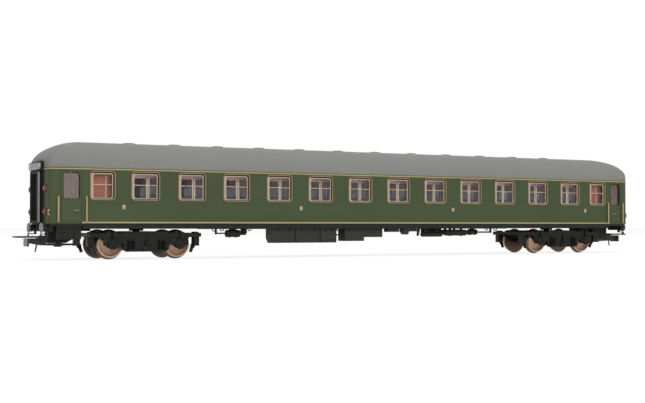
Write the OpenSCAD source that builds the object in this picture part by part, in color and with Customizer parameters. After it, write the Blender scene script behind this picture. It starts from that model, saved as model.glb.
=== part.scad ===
// Model of a twelve-compartment corridor coach to the scale 1:87, in millimetres.
// +X runs along the coach towards its rear end, the corridor side faces -Y, and
// z = 0 is the plane on which the wheel flanges stand.

/* [Body] */
// Length of the body over both end walls
body_l = 299.6; // [298.8:0.1:300]
// Width of the body between the tapered ends
body_w = 32.6; // [32.4:0.1:32.8]
// Width of the body at the end walls
end_w = 29.8; // [29.4:0.1:30.2]
// Distance from the middle at which the sides begin to taper
taper_x = 135.5; // [135:0.1:135.6]
// Radius of the body's upright corners
corner_r = 2; // [1.6:0.1:2.4]
// Thickness of the walls and of the roof
wall_t = 1.2; // [1.2:0.05:1.4]
// Height of the sides' lower edge
side_z0 = 14.5; // [14.4:0.1:14.6]
// Height of the sides' upper edge
side_z1 = 36; // [35.9:0.1:36.2]

/* [Roof] */
// Height of the roof's crown
crown_z = 47.6; // [47:0.1:48]
// Squareness of the roof's cross-section, where 2 is an ellipse
roof_n = 2.25; // [2.1:0.05:2.5]
// Height at which the end domes begin
dome_z = 38.6; // [38:0.1:39.2]
// Length of each end dome
dome_l = 16; // [14:0.5:18]
// Length of a roof vent
vent_l = 6.2; // [5:0.1:7]
// Width of a roof vent
vent_w = 3.2; // [2.6:0.1:3.6]
// Distance of the vents from the roof's middle line
vent_y = 4.4; // [4:0.1:5]

/* [Windows] */
// Number of compartments, each with a window on both sides
bays = 12; // [8:2:12]
// Distance from one compartment to the next
bay_pitch = 20.12; // [20.1:0.01:20.2]
// Width of a compartment window over its trim
win_w = 12.2; // [11.8:0.1:12.8]
// Height of a window over its trim
win_h = 11.6; // [11.2:0.1:11.7]
// Height of the windows' lower edge
win_z0 = 23.8; // [23.8:0.05:24]
// Width of a washroom window over its trim
wash_w = 10.4; // [10:0.1:10.8]
// Distance of the washroom windows from the middle
wash_x = 128.5; // [128.3:0.1:128.8]
// Width of the glass in an entrance door
door_glass_w = 6.5; // [5.6:0.1:6.8]
// Height of the glass in an entrance door
door_glass_h = 10.6; // [10:0.1:10.8]

/* [Running gear] */
// Distance of each bogie's pivot from the middle
pivot_x = 109; // [108.8:0.1:109.2]
// Distance between the two axles of a bogie
wheelbase = 28.7; // [28.5:0.1:28.9]
// Radius over the wheel flanges
flange_r = 6.1; // [6:0.05:6.1]
// Radius of the wheel treads
tread_r = 5.4; // [5.2:0.05:5.4]
// Distance between the inner faces of a pair of wheels
back_to_back = 14.4; // [14.3:0.05:14.5]
// Running clearance of the journals and pivots, measured on the radius
run_gap = 0.05; // [0.03:0.01:0.08]

/* [Ends] */
// Distance of the buffers from the middle line
buffer_y = 9.8; // [9.6:0.1:10.2]
// Height of the buffers
buffer_z = 12.8; // [12.7:0.1:13]
// Radius of the buffer heads
buffer_r = 2; // [1.8:0.1:2.2]
// Distance of the buffer faces from the middle
buffer_x = 151.7; // [151.6:0.1:151.9]
// Distance of the coupler's swing pin from the middle
coupler_x = 142; // [141.9:0.1:142.1]
// Height of the coupling loop
loop_z = 9.2; // [9.1:0.1:9.3]
// Distance of the coupling loop's tip from the middle
loop_tip_x = 159.5; // [158.5:0.1:160]

/* [Hidden] */
$fn = 48;

// Colours
body_green = [0.30, 0.35, 0.24];
roof_grey = [0.52, 0.52, 0.50];
trim_beige = [0.74, 0.63, 0.51];
line_yellow = [0.65, 0.61, 0.41];
rail_brass = [0.72, 0.62, 0.41];
frame_black = [0.16, 0.16, 0.15];
plate_grey = [0.55, 0.55, 0.56];
wheel_bronze = [0.55, 0.42, 0.33];
lamp_red = [0.45, 0.16, 0.10];
seat_blue = [0.35, 0.38, 0.42];
panel_brown = [0.48, 0.34, 0.32];
panel_orange = [0.66, 0.38, 0.28];
steel_grey = [0.45, 0.45, 0.46];
glass_tint = [0.80, 0.85, 0.85, 0.35];

// Body
half_l = body_l / 2;
half_w = body_w / 2;
taper_deg = atan2(half_w - end_w / 2, half_l - corner_r - taper_x);
end_wall_x = half_l - 3;
bay_xs = [for (i = [0:bays - 1]) (i - (bays - 1) / 2) * bay_pitch];
window_xs = concat([-wash_x], bay_xs, [wash_x]);
win_r = 1.5;
door_x = 141;
door_w = 8.2;
door_z0 = 15.1;
door_glass_z = 24.1 + door_glass_h / 2;
groove_w = 0.22;
groove_d = 0.2;
trim_w = 0.55;
trim_proud = 0.15;
cut_in = 0.35;
sash_w = 0.7;
sash_bar = 0.5;
sash_out = 0.5;
sash_in = 0.85;
pane_in = 1.15;
gutter_z0 = 35.75;
gutter_h = 0.6;
gutter_proud = 0.25;
door_z1 = 35.5;
doorway_w = 8.4;
doorway_z0 = 15.6;
doorway_z1 = 34.6;
vent_top = 0.8;

// Chassis
floor_z0 = 13.5;
floor_in = 0.4;
sole_z0 = 12.4;
sole_y1 = 15.9;
sole_t = 1;
beam_x = 149;
beam_z0 = 11.4;

// Gangway
bellows_x = 151;
plate_x = 151.8;
gangway_w = 12.6;
gangway_z1 = 35.4;
wall_frame_w = 15.2;
passage_w = 9.2;
hood_z1 = 39.4;
hood_x = 151.2;
canopy_x = 152;
canopy_w = 15.4;
canopy_h = 3;
canopy_z = 37.4;

// Bogies, in the frame of their own pivot
axle_x = wheelbase / 2;
frame_y0 = 11.3;
frame_y1 = 12.9;
frame_end = 23.9;
frame_top = 11.3;
pivot_r = 1.5;
journal_r = 0.75;
axle_r = 1;
journal_y = 12.45;
wheel_t = 2.8;

// Coupler
coupler_pin_r = 1;
loop_pivot_x = 148.5;
loop_pivot_z = 9;
loop_pin_r = 0.35;
loop_y = 4;
arm_z0 = 5.6;
arm_z1 = 6.6;
arm_top = 8.6;

// ---------------------------------------------------------------- outlines

// Points on a circle's arc from angle a0 to a1
function arc(cx, cy, r, a0, a1, n = 4) =
    [for (i = [0:n]) let (a = a0 + (a1 - a0) * i / n) [cx + r * cos(a), cy + r * sin(a)]];

// Rectangle with round corners, about the origin
function rounded(w, h, r) = concat(
    arc(w / 2 - r, h / 2 - r, r, 0, 90),
    arc(-w / 2 + r, h / 2 - r, r, 90, 180),
    arc(-w / 2 + r, -h / 2 + r, r, 180, 270),
    arc(w / 2 - r, -h / 2 + r, r, 270, 360));

// Points of an ellipse, about the origin
function oval(l, w, n = 24) =
    [for (i = [0:n - 1]) [l / 2 * cos(360 * i / n), w / 2 * sin(360 * i / n)]];

// Body outline seen from above, drawn in by i on all sides
function plan_quarter(i) = let (r = max(corner_r - i, 0.4)) concat(
    arc(half_l - i - r, end_w / 2 - i - r, r, 0, 90 - taper_deg, 8),
    [[taper_x, half_w - i]]);
function plan_half(q) = concat(q, [for (k = [len(q) - 1:-1:0]) [-q[k][0], q[k][1]]]);
function plan(i) = let (h = plan_half(plan_quarter(i))) concat(h, [for (p = h) -p]);

// Roof cross-section in Y and Z, drawn in by i, with its foot lowered by that much
function roof_section(i, n = 28) = concat(
    [[half_w - i, side_z1 - i]],
    [for (k = [0:n]) let (a = 180 * k / n, c = cos(a), s = sin(a))
        [(half_w - i) * sign(c) * pow(abs(c), 2 / roof_n),
         side_z1 + (crown_z - i - side_z1) * pow(s, 2 / roof_n)]],
    [[-half_w + i, side_z1 - i]]);

// Roof profile in X and Z with a dome at each end, drawn in by i
function dome(i, n = 10) =
    [for (k = [0:n]) let (a = 90 * k / n)
        [half_l - dome_l + (dome_l - i) * cos(a), dome_z + (crown_z - i - dome_z) * sin(a)]];
function roof_profile(i) = let (d = dome(i)) concat(
    [[half_l - i, side_z1 - 2]], d,
    [for (k = [len(d) - 1:-1:0]) [-d[k][0], d[k][1]]], [[-half_l + i, side_z1 - 2]]);

// ---------------------------------------------------------------- placing

// A flat shape in X and Z, given depth from y0 to y1 on the side s of the coach
module on_side(s, y0, y1)
    translate([0, s > 0 ? y1 : -y0, 0]) rotate([90, 0, 0]) linear_extrude(y1 - y0) children();

// A flat shape in X and Z, given depth from y0 to y1
module across(y0, y1)
    translate([0, y1, 0]) rotate([90, 0, 0]) linear_extrude(y1 - y0) children();

// A flat shape in Y and Z, given depth from x0 to x1
module along(x0, x1)
    translate([x0, 0, 0]) rotate([90, 0, 90]) linear_extrude(x1 - x0) children();

// The children as drawn for the rear end, or turned over for the front end
module at_end(e)
    mirror([e < 0 ? 1 : 0, 0, 0]) children();

// A box between two corners
module block(a, b)
    translate(a) cube(b - a);

// A block and its mirror image on the other side
module both_blocks(a, b)
    for (s = [0, 1]) mirror([0, s, 0]) block(a, b);

// A round bar along X from x0 to x1
module bar_x(x0, x1, y, z, r)
    translate([x0, y, z]) rotate([0, 90, 0]) cylinder(r = r, h = x1 - x0);

// ---------------------------------------------------------------- body shell

module wall_ring(i0, i1, z0, z1)
    translate([0, 0, z0]) linear_extrude(z1 - z0) difference() {
        polygon(plan(i0));
        polygon(plan(i1));
    }

module window_holes(s) {
    for (x = window_xs)
        translate([x, 0, win_z0 + win_h / 2]) on_side(s, half_w - 2, half_w + 1)
            polygon(rounded(pane_w(x), win_h - 2 * cut_in, win_r - cut_in));
    for (x = [-door_x, door_x])
        translate([x, 0, 0]) door_glass_column(s);
}

// Width of the hole that a window needs in the wall
function pane_w(x) = (abs(x) == wash_x ? wash_w : win_w) - 2 * cut_in;

module door_glass_column(s)
    translate([0, 0, door_glass_z]) on_side(s, half_w - 4, half_w + 1)
        polygon(rounded(door_glass_w, door_glass_h, 0.8));

module side_wall(s)
    color(body_green) difference() {
        translate([0, 0, side_z0]) linear_extrude(side_z1 - side_z0) intersection() {
            difference() {
                polygon(plan(0));
                polygon(plan(wall_t));
            }
            translate([-end_wall_x, s > 0 ? 1 : -half_w - 1]) square([2 * end_wall_x, half_w]);
        }
        window_holes(s);
        for (x = [-door_x, door_x])
            door_groove(x, s);
    }

// Groove round an entrance door that is moulded shut
module door_groove(x, s)
    intersection() {
        wall_ring(-1, groove_d, side_z0, side_z1);
        translate([x, 0, (door_z0 + door_z1) / 2]) on_side(s, half_w - 4, half_w + 1)
            difference() {
                square([door_w, door_z1 - door_z0], center = true);
                square([door_w - 2 * groove_w, door_z1 - door_z0 - 2 * groove_w], center = true);
            }
    }

module end_wall(e)
    color(body_green) at_end(e) difference() {
        translate([0, 0, side_z0]) linear_extrude(side_z1 - side_z0) intersection() {
            difference() {
                polygon(plan(0));
                polygon(plan(wall_t));
            }
            translate([end_wall_x, -half_w]) square([4, body_w]);
        }
        along(half_l - 3, half_l + 1) translate([0, (doorway_z0 + doorway_z1) / 2])
            square([doorway_w, doorway_z1 - doorway_z0], center = true);
    }

module gangway_door()
    translate([0, 0, (doorway_z0 + doorway_z1) / 2]) difference() {
        along(half_l - wall_t, half_l - 0.5)
            square([doorway_w, doorway_z1 - doorway_z0], center = true);
        along(half_l - 0.7, half_l) translate([0, 4.4]) polygon(rounded(5.2, 8, 0.6));
    }

module gangway_doors()
    color(body_green) for (e = [-1, 1]) at_end(e) gangway_door();

module roof_block(i)
    intersection() {
        along(-half_l, half_l) polygon(roof_section(i));
        across(-half_w, half_w) polygon(roof_profile(i));
        translate([0, 0, side_z1 - i]) linear_extrude(crown_z - side_z1 + 1) polygon(plan(i));
    }

module roof()
    color(roof_grey) difference() {
        roof_block(0);
        roof_block(wall_t);
    }

module roof_vents()
    color(roof_grey) difference() {
        for (x = bay_xs)
            translate([x, vent_y, crown_z - 1.4]) linear_extrude(vent_top + 1.4)
                polygon(oval(vent_l, vent_w));
        roof_block(0);
    }

module rain_gutters()
    color(line_yellow) for (s = [-1, 1])
        translate([0, 0, gutter_z0]) linear_extrude(gutter_h) intersection() {
            difference() {
                polygon(plan(-gutter_proud));
                polygon(plan(0));
            }
            translate([-end_wall_x, s > 0 ? 1 : -half_w - 1]) square([2 * end_wall_x, half_w]);
        }

// ---------------------------------------------------------------- windows

// One metal window frame: trim on the wall, lining of the hole, and a sash with a middle bar
module window_frame(x, s) {
    w = pane_w(x);
    h = win_h - 2 * cut_in;
    r = win_r - cut_in;
    thin = trim_w - cut_in;
    translate([x, 0, win_z0 + win_h / 2]) {
        on_side(s, half_w, half_w + trim_proud) difference() {
            polygon(rounded(w + 2 * cut_in, win_h, win_r));
            polygon(rounded(w - 2 * thin, h - 2 * thin, r - thin));
        }
        on_side(s, half_w - sash_out, half_w) difference() {
            polygon(rounded(w, h, r));
            polygon(rounded(w - 2 * thin, h - 2 * thin, r - thin));
        }
        on_side(s, half_w - sash_in, half_w - sash_out) difference() {
            polygon(rounded(w, h, r));
            for (k = [-1, 1])
                translate([0, k * (h / 2 - sash_w + sash_bar / 2) / 2])
                    square([w - 2 * sash_w, h / 2 - sash_w - sash_bar / 2], center = true);
        }
    }
}

module window_frames(s)
    color(trim_beige) for (x = window_xs) window_frame(x, s);

module glazing(s)
    color(glass_tint) {
        for (x = window_xs)
            translate([x, 0, win_z0 + win_h / 2]) on_side(s, half_w - pane_in, half_w - sash_in)
                polygon(rounded(pane_w(x), win_h - 2 * cut_in, win_r - cut_in));
        for (x = [-door_x, door_x])
            intersection() {
                wall_ring(0.6, 0.95, side_z0, side_z1);
                translate([x, 0, 0]) door_glass_column(s);
            }
    }

// ---------------------------------------------------------------- chassis

module chassis()
    color(frame_black) {
        translate([0, 0, floor_z0]) linear_extrude(side_z0 - floor_z0) intersection() {
            polygon(plan(floor_in));
            square([2 * beam_x, body_w], center = true);
        }
        both_blocks([-taper_x - 1, sole_y1 - sole_t, sole_z0], [taper_x + 1, sole_y1, floor_z0]);
        both_blocks([-80, 3.2, 12.2], [80, 4.4, floor_z0]);
        for (e = [-1, 1]) at_end(e) {
            difference() {
                block([beam_x - 1.6, -13, beam_z0], [beam_x, 13, floor_z0]);
                block([beam_x - 2, -3, beam_z0 - 1], [beam_x + 1, 3, beam_z0 + 0.9]);
            }
            translate([pivot_x, 0, 11.6]) cylinder(r = 3, h = floor_z0 - 11.6);
            translate([pivot_x, 0, 8.2]) cylinder(r = pivot_r, h = floor_z0 - 8.2);
            translate([pivot_x, 0, 7.6]) cylinder(r = 2.2, h = 0.6);
        }
    }

module coupler_brackets()
    color(frame_black) for (e = [-1, 1]) at_end(e) {
        across(-3, 3) polygon([[136.4, 8.4], [139.5, arm_z1 + 0.1], [146.6, arm_z1 + 0.1],
                               [146.6, floor_z0], [136.4, floor_z0]]);
        translate([coupler_x, 0, arm_z0 - 0.3]) cylinder(r = coupler_pin_r, h = 2);
        translate([coupler_x, 0, arm_z0 - 0.45]) cylinder(r = 1.6, h = 0.4);
    }

// A flat ring in Y and Z round the passage, w wide over all
module passage_ring(w)
    translate([0, (side_z0 + gangway_z1) / 2]) difference() {
        polygon(rounded(w, gangway_z1 - side_z0, 0.3));
        translate([0, -0.1]) square([passage_w, gangway_z1 - side_z0 - 2], center = true);
    }

// Wall frame, bellows and face plate
module gangway(e)
    color(frame_black) at_end(e) {
        along(half_l, half_l + 0.5) passage_ring(wall_frame_w);
        along(half_l + 0.5, bellows_x) passage_ring(gangway_w - 0.8);
        along(bellows_x, plate_x) passage_ring(gangway_w);
    }

// Hood over the bellows, with a pale shield hung on its front
module gangway_canopies()
    color(plate_grey) for (e = [-1, 1]) at_end(e) {
        along(half_l, hood_x) polygon(concat(
            [[wall_frame_w / 2, gangway_z1]],
            arc(wall_frame_w / 2 - 1.2, hood_z1 - 1.2, 1.2, 0, 90),
            arc(-wall_frame_w / 2 + 1.2, hood_z1 - 1.2, 1.2, 90, 180),
            [[-wall_frame_w / 2, gangway_z1]]));
        along(hood_x, canopy_x) translate([0, canopy_z]) polygon(rounded(canopy_w, canopy_h, 0.8));
    }

// Round head with a flat face on a stepped stem, which is thin under the end wall
module buffer()
    translate([beam_x, 0, buffer_z]) rotate([0, 90, 0]) rotate_extrude() polygon([
        [0, 0], [1.3, 0], [1.3, 0.85], [1.6, 0.85], [1.6, 1.15], [1.4, 1.3], [1.4, 1.6],
        [0.95, 1.6], [0.95, 1.9], [buffer_r - 0.2, 1.9], [buffer_r, 2.05],
        [buffer_r, buffer_x - beam_x - 0.25], [buffer_r - 0.25, buffer_x - beam_x],
        [0, buffer_x - beam_x]]);

module buffers()
    color(frame_black) for (e = [-1, 1], s = [-1, 1])
        at_end(e) translate([0, s * buffer_y, 0]) buffer();

// Flat bar bent forwards from the beam and down, under each buffer
module shunter_steps()
    color(frame_black) for (e = [-1, 1]) at_end(e) for (s = [0, 1]) mirror([0, s, 0]) {
        block([148.2, 9.2, 10.2], [beam_x, 10.4, beam_z0]);
        block([148.2, 9.2, 10.2], [buffer_x, 10.4, 10.6]);
        block([buffer_x - 0.4, 9.2, 9], [buffer_x, 10.4, 10.6]);
    }

// Closed step box under one entrance at each end, on opposite sides, with two recesses in
// its face and a lug below
module door_steps()
    color(frame_black) for (e = [-1, 1]) at_end(e) mirror([0, e < 0 ? 1 : 0, 0]) {
        difference() {
            block([136.8, 13.1, 8.3], [146.4, 15, floor_z0]);
            block([137.6, 14.6, 11.9], [145.6, 16, 13.1]);
            block([139.4, 14.5, 9], [145.6, 16, 10.9]);
        }
        block([137.3, 13.1, 5.9], [139.3, 14.3, 8.3]);
    }

// Upright grab rail beside a door, with a stand-off at each end
module handrail(x, s, z0, z1, face) {
    translate([x, s * (face + 0.62), z0]) cylinder(r = 0.38, h = z1 - z0);
    for (z = [z0 + 0.4, z1 - 0.4])
        on_side(s, face, face + 0.62) translate([x, z]) circle(r = 0.25);
}

// Distance of the tapering wall's face from the middle line at x
function face_y(x) = half_w - max(0, abs(x) - taper_x) * tan(taper_deg);

module handrails()
    color(rail_brass) {
        for (e = [-1, 1], s = [-1, 1], x = [135.2, 146.1])
            handrail(e * x, s, 14.8, 25.5, face_y(x - 0.25));
        for (e = [-1, 1], s = [-1, 1]) at_end(e) {
            translate([half_l + 0.3, s * 14.1, 17.6]) cylinder(r = 0.25, h = 2.6);
            for (z = [17.9, 19.9])
                bar_x(half_l - 0.27, half_l + 0.3, s * 14.1, z, 0.2);
        }
    }

module tail_lamps()
    color(lamp_red) for (e = [-1, 1], s = [-1, 1], z = [19.2, 28.3]) at_end(e)
        translate([half_l, s * 11.3, z]) rotate([0, 90, 0]) {
            cylinder(r = 1.3, h = 0.8);
            cylinder(r = 1.05, h = 1.3);
        }

// ---------------------------------------------------------------- underfloor gear

// How far the right-hand battery box lies behind the left-hand one
battery_shift = 12.4;

// Long tray with two upright joints in its face and a cut-back lower edge
module battery_box()
    difference() {
        along(-53.1, -21) polygon([[-14, 6.6], [-13.6, 6.2], [-10.2, 6.2], [-8.2, 8.2],
                                   [-8.2, floor_z0], [-14, floor_z0]]);
        for (x = [-41.45, -29.3])
            block([x - 0.25, -15, 5], [x + 0.25, -13.6, 12.4]);
    }

module battery_boxes()
    color(frame_black) {
        battery_box();
        translate([battery_shift, 0, 0]) mirror([0, 1, 0]) battery_box();
    }

module equipment_boxes()
    color(frame_black) {
        block([-16.6, -13.6, 6.8], [-6.6, -7.4, floor_z0]);
        block([-6.6, -13.2, 8.5], [3.3, -7.4, floor_z0]);
        block([5.7, -14, 10.8], [11.8, -10.4, floor_z0]);
        across(-13.8, -10.4) polygon([[14.1, 11], [15.2, 9.6], [16.8, 9.6], [17.4, 11],
                                      [21.7, 11], [21.7, floor_z0], [14.1, floor_z0]]);
        across(-13.4, -12.2) polygon([[22.2, 9], [23, 9], [24, floor_z0], [23, floor_z0]]);
        block([-2, 8, 8.8], [14, 13.6, floor_z0]);
    }

// Air tank lying along the coach, hung in two straps
module reservoir(x0, x1, y, z, r) {
    translate([x0, y, z]) rotate([0, 90, 0]) rotate_extrude() polygon(concat(
        [[0, 0]], arc(r - 0.8, 0.8, 0.8, -90, 0),
        arc(r - 0.8, x1 - x0 - 0.8, 0.8, 0, 90), [[0, x1 - x0]]));
    for (x = [x0 + (x1 - x0) / 4, x1 - (x1 - x0) / 4])
        block([x - 0.5, y - 0.4, z], [x + 0.5, y + 0.4, floor_z0]);
}

module air_reservoirs()
    color(frame_black) {
        reservoir(24.8, 36.6, -12.2, 9.6, 1.1);
        block([26.4, -12.5, 10.4], [36, -9.6, floor_z0]);
        reservoir(37.9, 50.5, -12.2, 10.4, 1.45);
        reservoir(52, 63, 11.6, 10.4, 1.3);
    }

module brake_cylinder()
    color(frame_black) {
        translate([51.9, -12, 10.65]) rotate([0, 90, 0]) {
            cylinder(r = 1.25, h = 4.6);
            cylinder(r = 1.45, h = 0.5);
        }
        block([53.2, -12.6, 10.65], [54.6, -11.4, floor_z0]);
    }

module dynamo()
    color(frame_black) {
        translate([-73.4, -11.8, 10.35]) rotate([0, 90, 0]) {
            cylinder(r = 1.55, h = 6.1);
            translate([0, 0, 6.1]) cylinder(r = 0.7, h = 3);
        }
        block([-71.8, -12.4, 10.35], [-69.2, -11.2, floor_z0]);
        block([-66.6, -12.2, 10.35], [-63.8, -11.4, floor_z0]);
    }

module brake_rods()
    color(frame_black) {
        bar_x(-78.4, -73.4, -11.8, 10.45, 0.3);
        block([-78.4, -12.2, 10], [-77.7, -11.4, floor_z0]);
        bar_x(56.5, 65.2, -12, 10.6, 0.35);
        block([64.4, -12.4, 10.2], [65.2, -11.6, floor_z0]);
        bar_x(-20.9, -17.4, -11.8, 9.6, 0.3);
        block([-18.1, -12.2, 9.3], [-17.4, -11.4, floor_z0]);
        bar_x(-76, 76, 0, 12.9, 0.4);
        for (x = [-76, -38, 0, 38, 75])
            block([x - 0.5, -0.5, 12.7], [x + 0.5, 0.5, floor_z0]);
    }

// Open pipe loops that hang below the sole bars
module steam_pipe_rings()
    color(frame_black) for (s = [0, 1]) mirror([0, s, 0]) for (x = [-79.9, -66.4, -20.3, 66])
        translate([x + 16 * s, -14.2, 12.2]) rotate([90, 0, 0]) {
            rotate_extrude() translate([0.8, 0]) circle(r = 0.22, $fn = 16);
            translate([0, 0.95, 0]) cube([0.4, 0.7, 0.4], center = true);
        }

// ---------------------------------------------------------------- inside

inner_floor_z = 16;
inner_l = 121.5;
corridor_y = -10.2;
cabin_z1 = 34.6;

module ballast_plate()
    color(steel_grey) block([-116, -12.6, side_z0], [116, 12.6, inner_floor_z]);

module interior_floor()
    color(panel_brown) block([-134, -14.2, inner_floor_z], [134, 14.2, inner_floor_z + 0.6]);

// Corridor wall with a door and a window to each compartment, the walls between them,
// and a screen behind the glass of each entrance door
module partitions()
    color(panel_brown) {
        difference() {
            across(corridor_y - 0.3, corridor_y + 0.3)
                translate([-inner_l, inner_floor_z + 0.6])
                    square([2 * inner_l, cabin_z1 - inner_floor_z - 0.6]);
            for (x = bay_xs) {
                block([x - 8.3, corridor_y - 1, 21], [x + 2.2, corridor_y + 1, 33]);
                block([x + 3.4, corridor_y - 1, 17.6], [x + 8.3, corridor_y + 1, 33]);
            }
        }
        for (i = [0:bays])
            translate([(i - bays / 2) * bay_pitch, 0, 0])
                block([-0.35, corridor_y + 0.3, inner_floor_z + 0.6], [0.35, 14.6, cabin_z1]);
        for (e = [-1, 1]) at_end(e)
            both_blocks([137.4, 12, side_z0], [144.6, 12.6, 35.6]);
    }

// Bench with a high back, facing +X from a compartment wall at x = 0
module bench() {
    block([0.45, corridor_y + 1.2, inner_floor_z + 0.6], [7, 14.2, 21.4]);
    block([0.45, corridor_y + 1.2, 21.4], [2.2, 14.2, 30]);
}

module seats()
    color(seat_blue) for (x = bay_xs, e = [-1, 1])
        translate([x + e * bay_pitch / 2, 0, 0]) at_end(-e) bench();

module washroom_panels()
    color(panel_orange) for (e = [-1, 1], s = [0, 1]) at_end(e) mirror([0, s, 0])
        block([122.6, 11.6, inner_floor_z + 0.6], [133.8, 12.2, 35.6]);

// ---------------------------------------------------------------- bogies

// Side frame outline in X and Z: humps over the wheels, axle guards and a deep middle
function side_frame_half() = concat(
    [[8.6, 3.1], [9.7, 4.2], [9.7, 6.2], [11.6, 7.2], [12.3, 4.9], [16.4, 4.9], [17.4, 7.4],
     [18.6, 8.9], [frame_end, 9.1], [frame_end, frame_top - 0.6], [19, frame_top - 0.6]],
    arc(axle_x, flange_r, 5.3, 55, 125),
    [[10.6, frame_top - 0.7], [8, frame_top]]);

function side_frame() = let (h = side_frame_half())
    concat(h, [for (k = [len(h) - 1:-1:0]) [-h[k][0], h[k][1]]]);

// Blocks at one end of a bogie that carry the brake hangers
module end_blocks()
    for (s = [0, 1]) mirror([0, s, 0])
        across(8, 10.8) polygon(concat([[21.4, 5.3], [frame_end, 5.3]],
                                       arc(frame_end - 1, frame_top - 1.1, 1, 0, 90),
                                       [[21.4, frame_top - 0.1]]));

module bogie_frame(e)
    color(frame_black) translate([e * pivot_x, 0, 0]) difference() {
        union() {
            for (s = [-1, 1])
                on_side(s, frame_y0, frame_y1) polygon(side_frame());
            difference() {
                block([-4.4, -frame_y0, 8.6], [4.4, frame_y0, 11.4]);
                both_blocks([-3, 4, 10.2], [3, 10, 12]);
            }
            for (a = [0, 180]) rotate([0, 0, a]) {
                block([21.2, -frame_y0, 9.2], [frame_end, frame_y0, 10.7]);
                end_blocks();
            }
        }
        translate([0, 0, 5]) cylinder(r = pivot_r + run_gap, h = 10);
        for (k = [-1, 1], s = [-1, 1])
            on_side(s, frame_y0 - 1, journal_y + 0.05) translate([k * axle_x, flange_r])
                circle(r = journal_r + run_gap);
    }

// Round axlebox covers, spring rods, swing links and dampers on both side frames
module axleboxes(e)
    color(frame_black) translate([e * pivot_x, 0, 0]) for (s = [-1, 1]) {
        for (k = [-1, 1]) {
            on_side(s, frame_y1, frame_y1 + 0.8) translate([k * axle_x, 6.3]) circle(r = 2.3);
            on_side(s, frame_y1 + 0.8, frame_y1 + 1.2) translate([k * axle_x, 6.3])
                circle(r = 1.9);
            on_side(s, frame_y1, frame_y1 + 0.6) translate([k * axle_x - 0.3, 8.4])
                square([0.6, 3.2]);
            on_side(s, frame_y1, frame_y1 + 0.7) translate([k * 6.6 - 1.7, 4]) for (i = [0:3])
                translate([0, i * 0.9]) square([3.4, 0.9 - (i % 2) * 0.15]);
        }
        on_side(s, frame_y1, frame_y1 + 1) translate([0.2, 6.6]) circle(r = 1);
        on_side(s, frame_y1, frame_y1 + 0.5) translate([-1.6, 3.3]) square([3.2, 2]);
    }

// Curved hangers with brake blocks outside the wheels
module brake_gear(e)
    color(frame_black) translate([e * pivot_x, 0, 0]) for (a = [0, 180], s = [-1, 1])
        rotate([0, 0, a]) on_side(s, 8.5, 9.3) polygon(concat(
            arc(axle_x, flange_r, 6.45, -30, 0, 6),
            [[21.4, 6.2], [21.4, 5.3], [22.7, 5.3], [22.5, 4.7]],
            arc(axle_x, flange_r, 7.7, -16, -28, 5)));

// ---------------------------------------------------------------- wheelsets

// Wheel about +Z, its back at 0, with a flange, a tread, a dished web and a hub
module wheel()
    rotate_extrude($fn = 96) polygon([
        [axle_r, 0], [flange_r - 0.3, 0], [flange_r, 0.25], [flange_r, 0.5],
        [flange_r - 0.35, 0.85], [tread_r + 0.08, 1], [tread_r, wheel_t - 0.15],
        [tread_r - 0.15, wheel_t], [4.5, wheel_t], [4.3, wheel_t - 0.45], [3.6, wheel_t - 0.55],
        [2.3, wheel_t - 0.3], [2, wheel_t], [axle_r, wheel_t]]);

module wheels(x)
    color(wheel_bronze) translate([x, 0, flange_r]) for (s = [-1, 1])
        rotate([-s * 90, 0, 0]) translate([0, 0, back_to_back / 2]) wheel();

module axle(x)
    color(steel_grey) translate([x, 0, flange_r]) rotate([90, 0, 0]) {
        cylinder(r = axle_r, h = 21.2, center = true);
        cylinder(r = journal_r, h = 2 * journal_y, center = true);
        cylinder(r = 1.45, h = 3, center = true);
    }

function wheelset_x(k) = (k < 3 ? -1 : 1) * pivot_x + (k % 2 == 1 ? -1 : 1) * axle_x;

// ---------------------------------------------------------------- couplers

// Arm that is thin round its pin and deep behind its head, with a tail towards the bogie
module coupler_arm(e)
    color(frame_black) at_end(e) difference() {
        union() {
            translate([coupler_x, 0, arm_z0]) cylinder(r = 2.2, h = arm_z1 - arm_z0);
            block([135.6, -0.9, arm_z0 + 0.1], [coupler_x, 0.9, arm_z1 - 0.1]);
            across(-1.8, 1.8) polygon([[coupler_x, arm_z0], [149, arm_z0 + 0.2], [152.8, 6.5],
                                       [154.4, 6.6], [154.4, arm_top], [147.8, arm_top],
                                       [147.3, arm_z1], [coupler_x, arm_z1]]);
            block([154.3, -3, 5.4], [155.1, 3, arm_top]);
            both_blocks([147.5, 1.2, arm_z1], [149.5, 2, 9.7]);
        }
        translate([coupler_x, 0, 4]) cylinder(r = coupler_pin_r + run_gap, h = 4);
        block([149.4, -0.8, 5], [153.2, 0.8, 9]);
        bar_y(loop_pivot_x, loop_pivot_z, loop_pin_r + run_gap, 3);
    }

// A round bar along Y, from -h to h
module bar_y(x, z, r, h)
    translate([x, 0, z]) rotate([90, 0, 0]) cylinder(r = r, h = 2 * h, center = true);

// Bow that drops over the neighbour's hook, with the tail that lifts it
module coupling_loop(e)
    color(frame_black) at_end(e) {
        translate([0, 0, loop_z - 0.35]) linear_extrude(0.7) difference() {
            polygon(concat([[147.9, -loop_y - 0.35]],
                arc(loop_tip_x - 1.4, -loop_y + 1.05, 1.4, -90, 0),
                arc(loop_tip_x - 1.4, loop_y - 1.05, 1.4, 0, 90), [[147.9, loop_y + 0.35]]));
            translate([140, -loop_y + 0.35]) square([10.2, 2 * loop_y - 0.7]);
            translate([151, -loop_y + 0.35]) square([loop_tip_x - 151.8, 2 * loop_y - 0.7]);
        }
        bar_y(loop_pivot_x, loop_pivot_z, loop_pin_r, loop_y - 0.2);
        across(-0.45, 0.45) polygon([[150.1, loop_z], [150.8, loop_z], [150.9, 6], [151.5, 3.2],
                                     [150.8, 3.1], [150.2, 6]]);
    }

// ---------------------------------------------------------------- nodes

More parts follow.
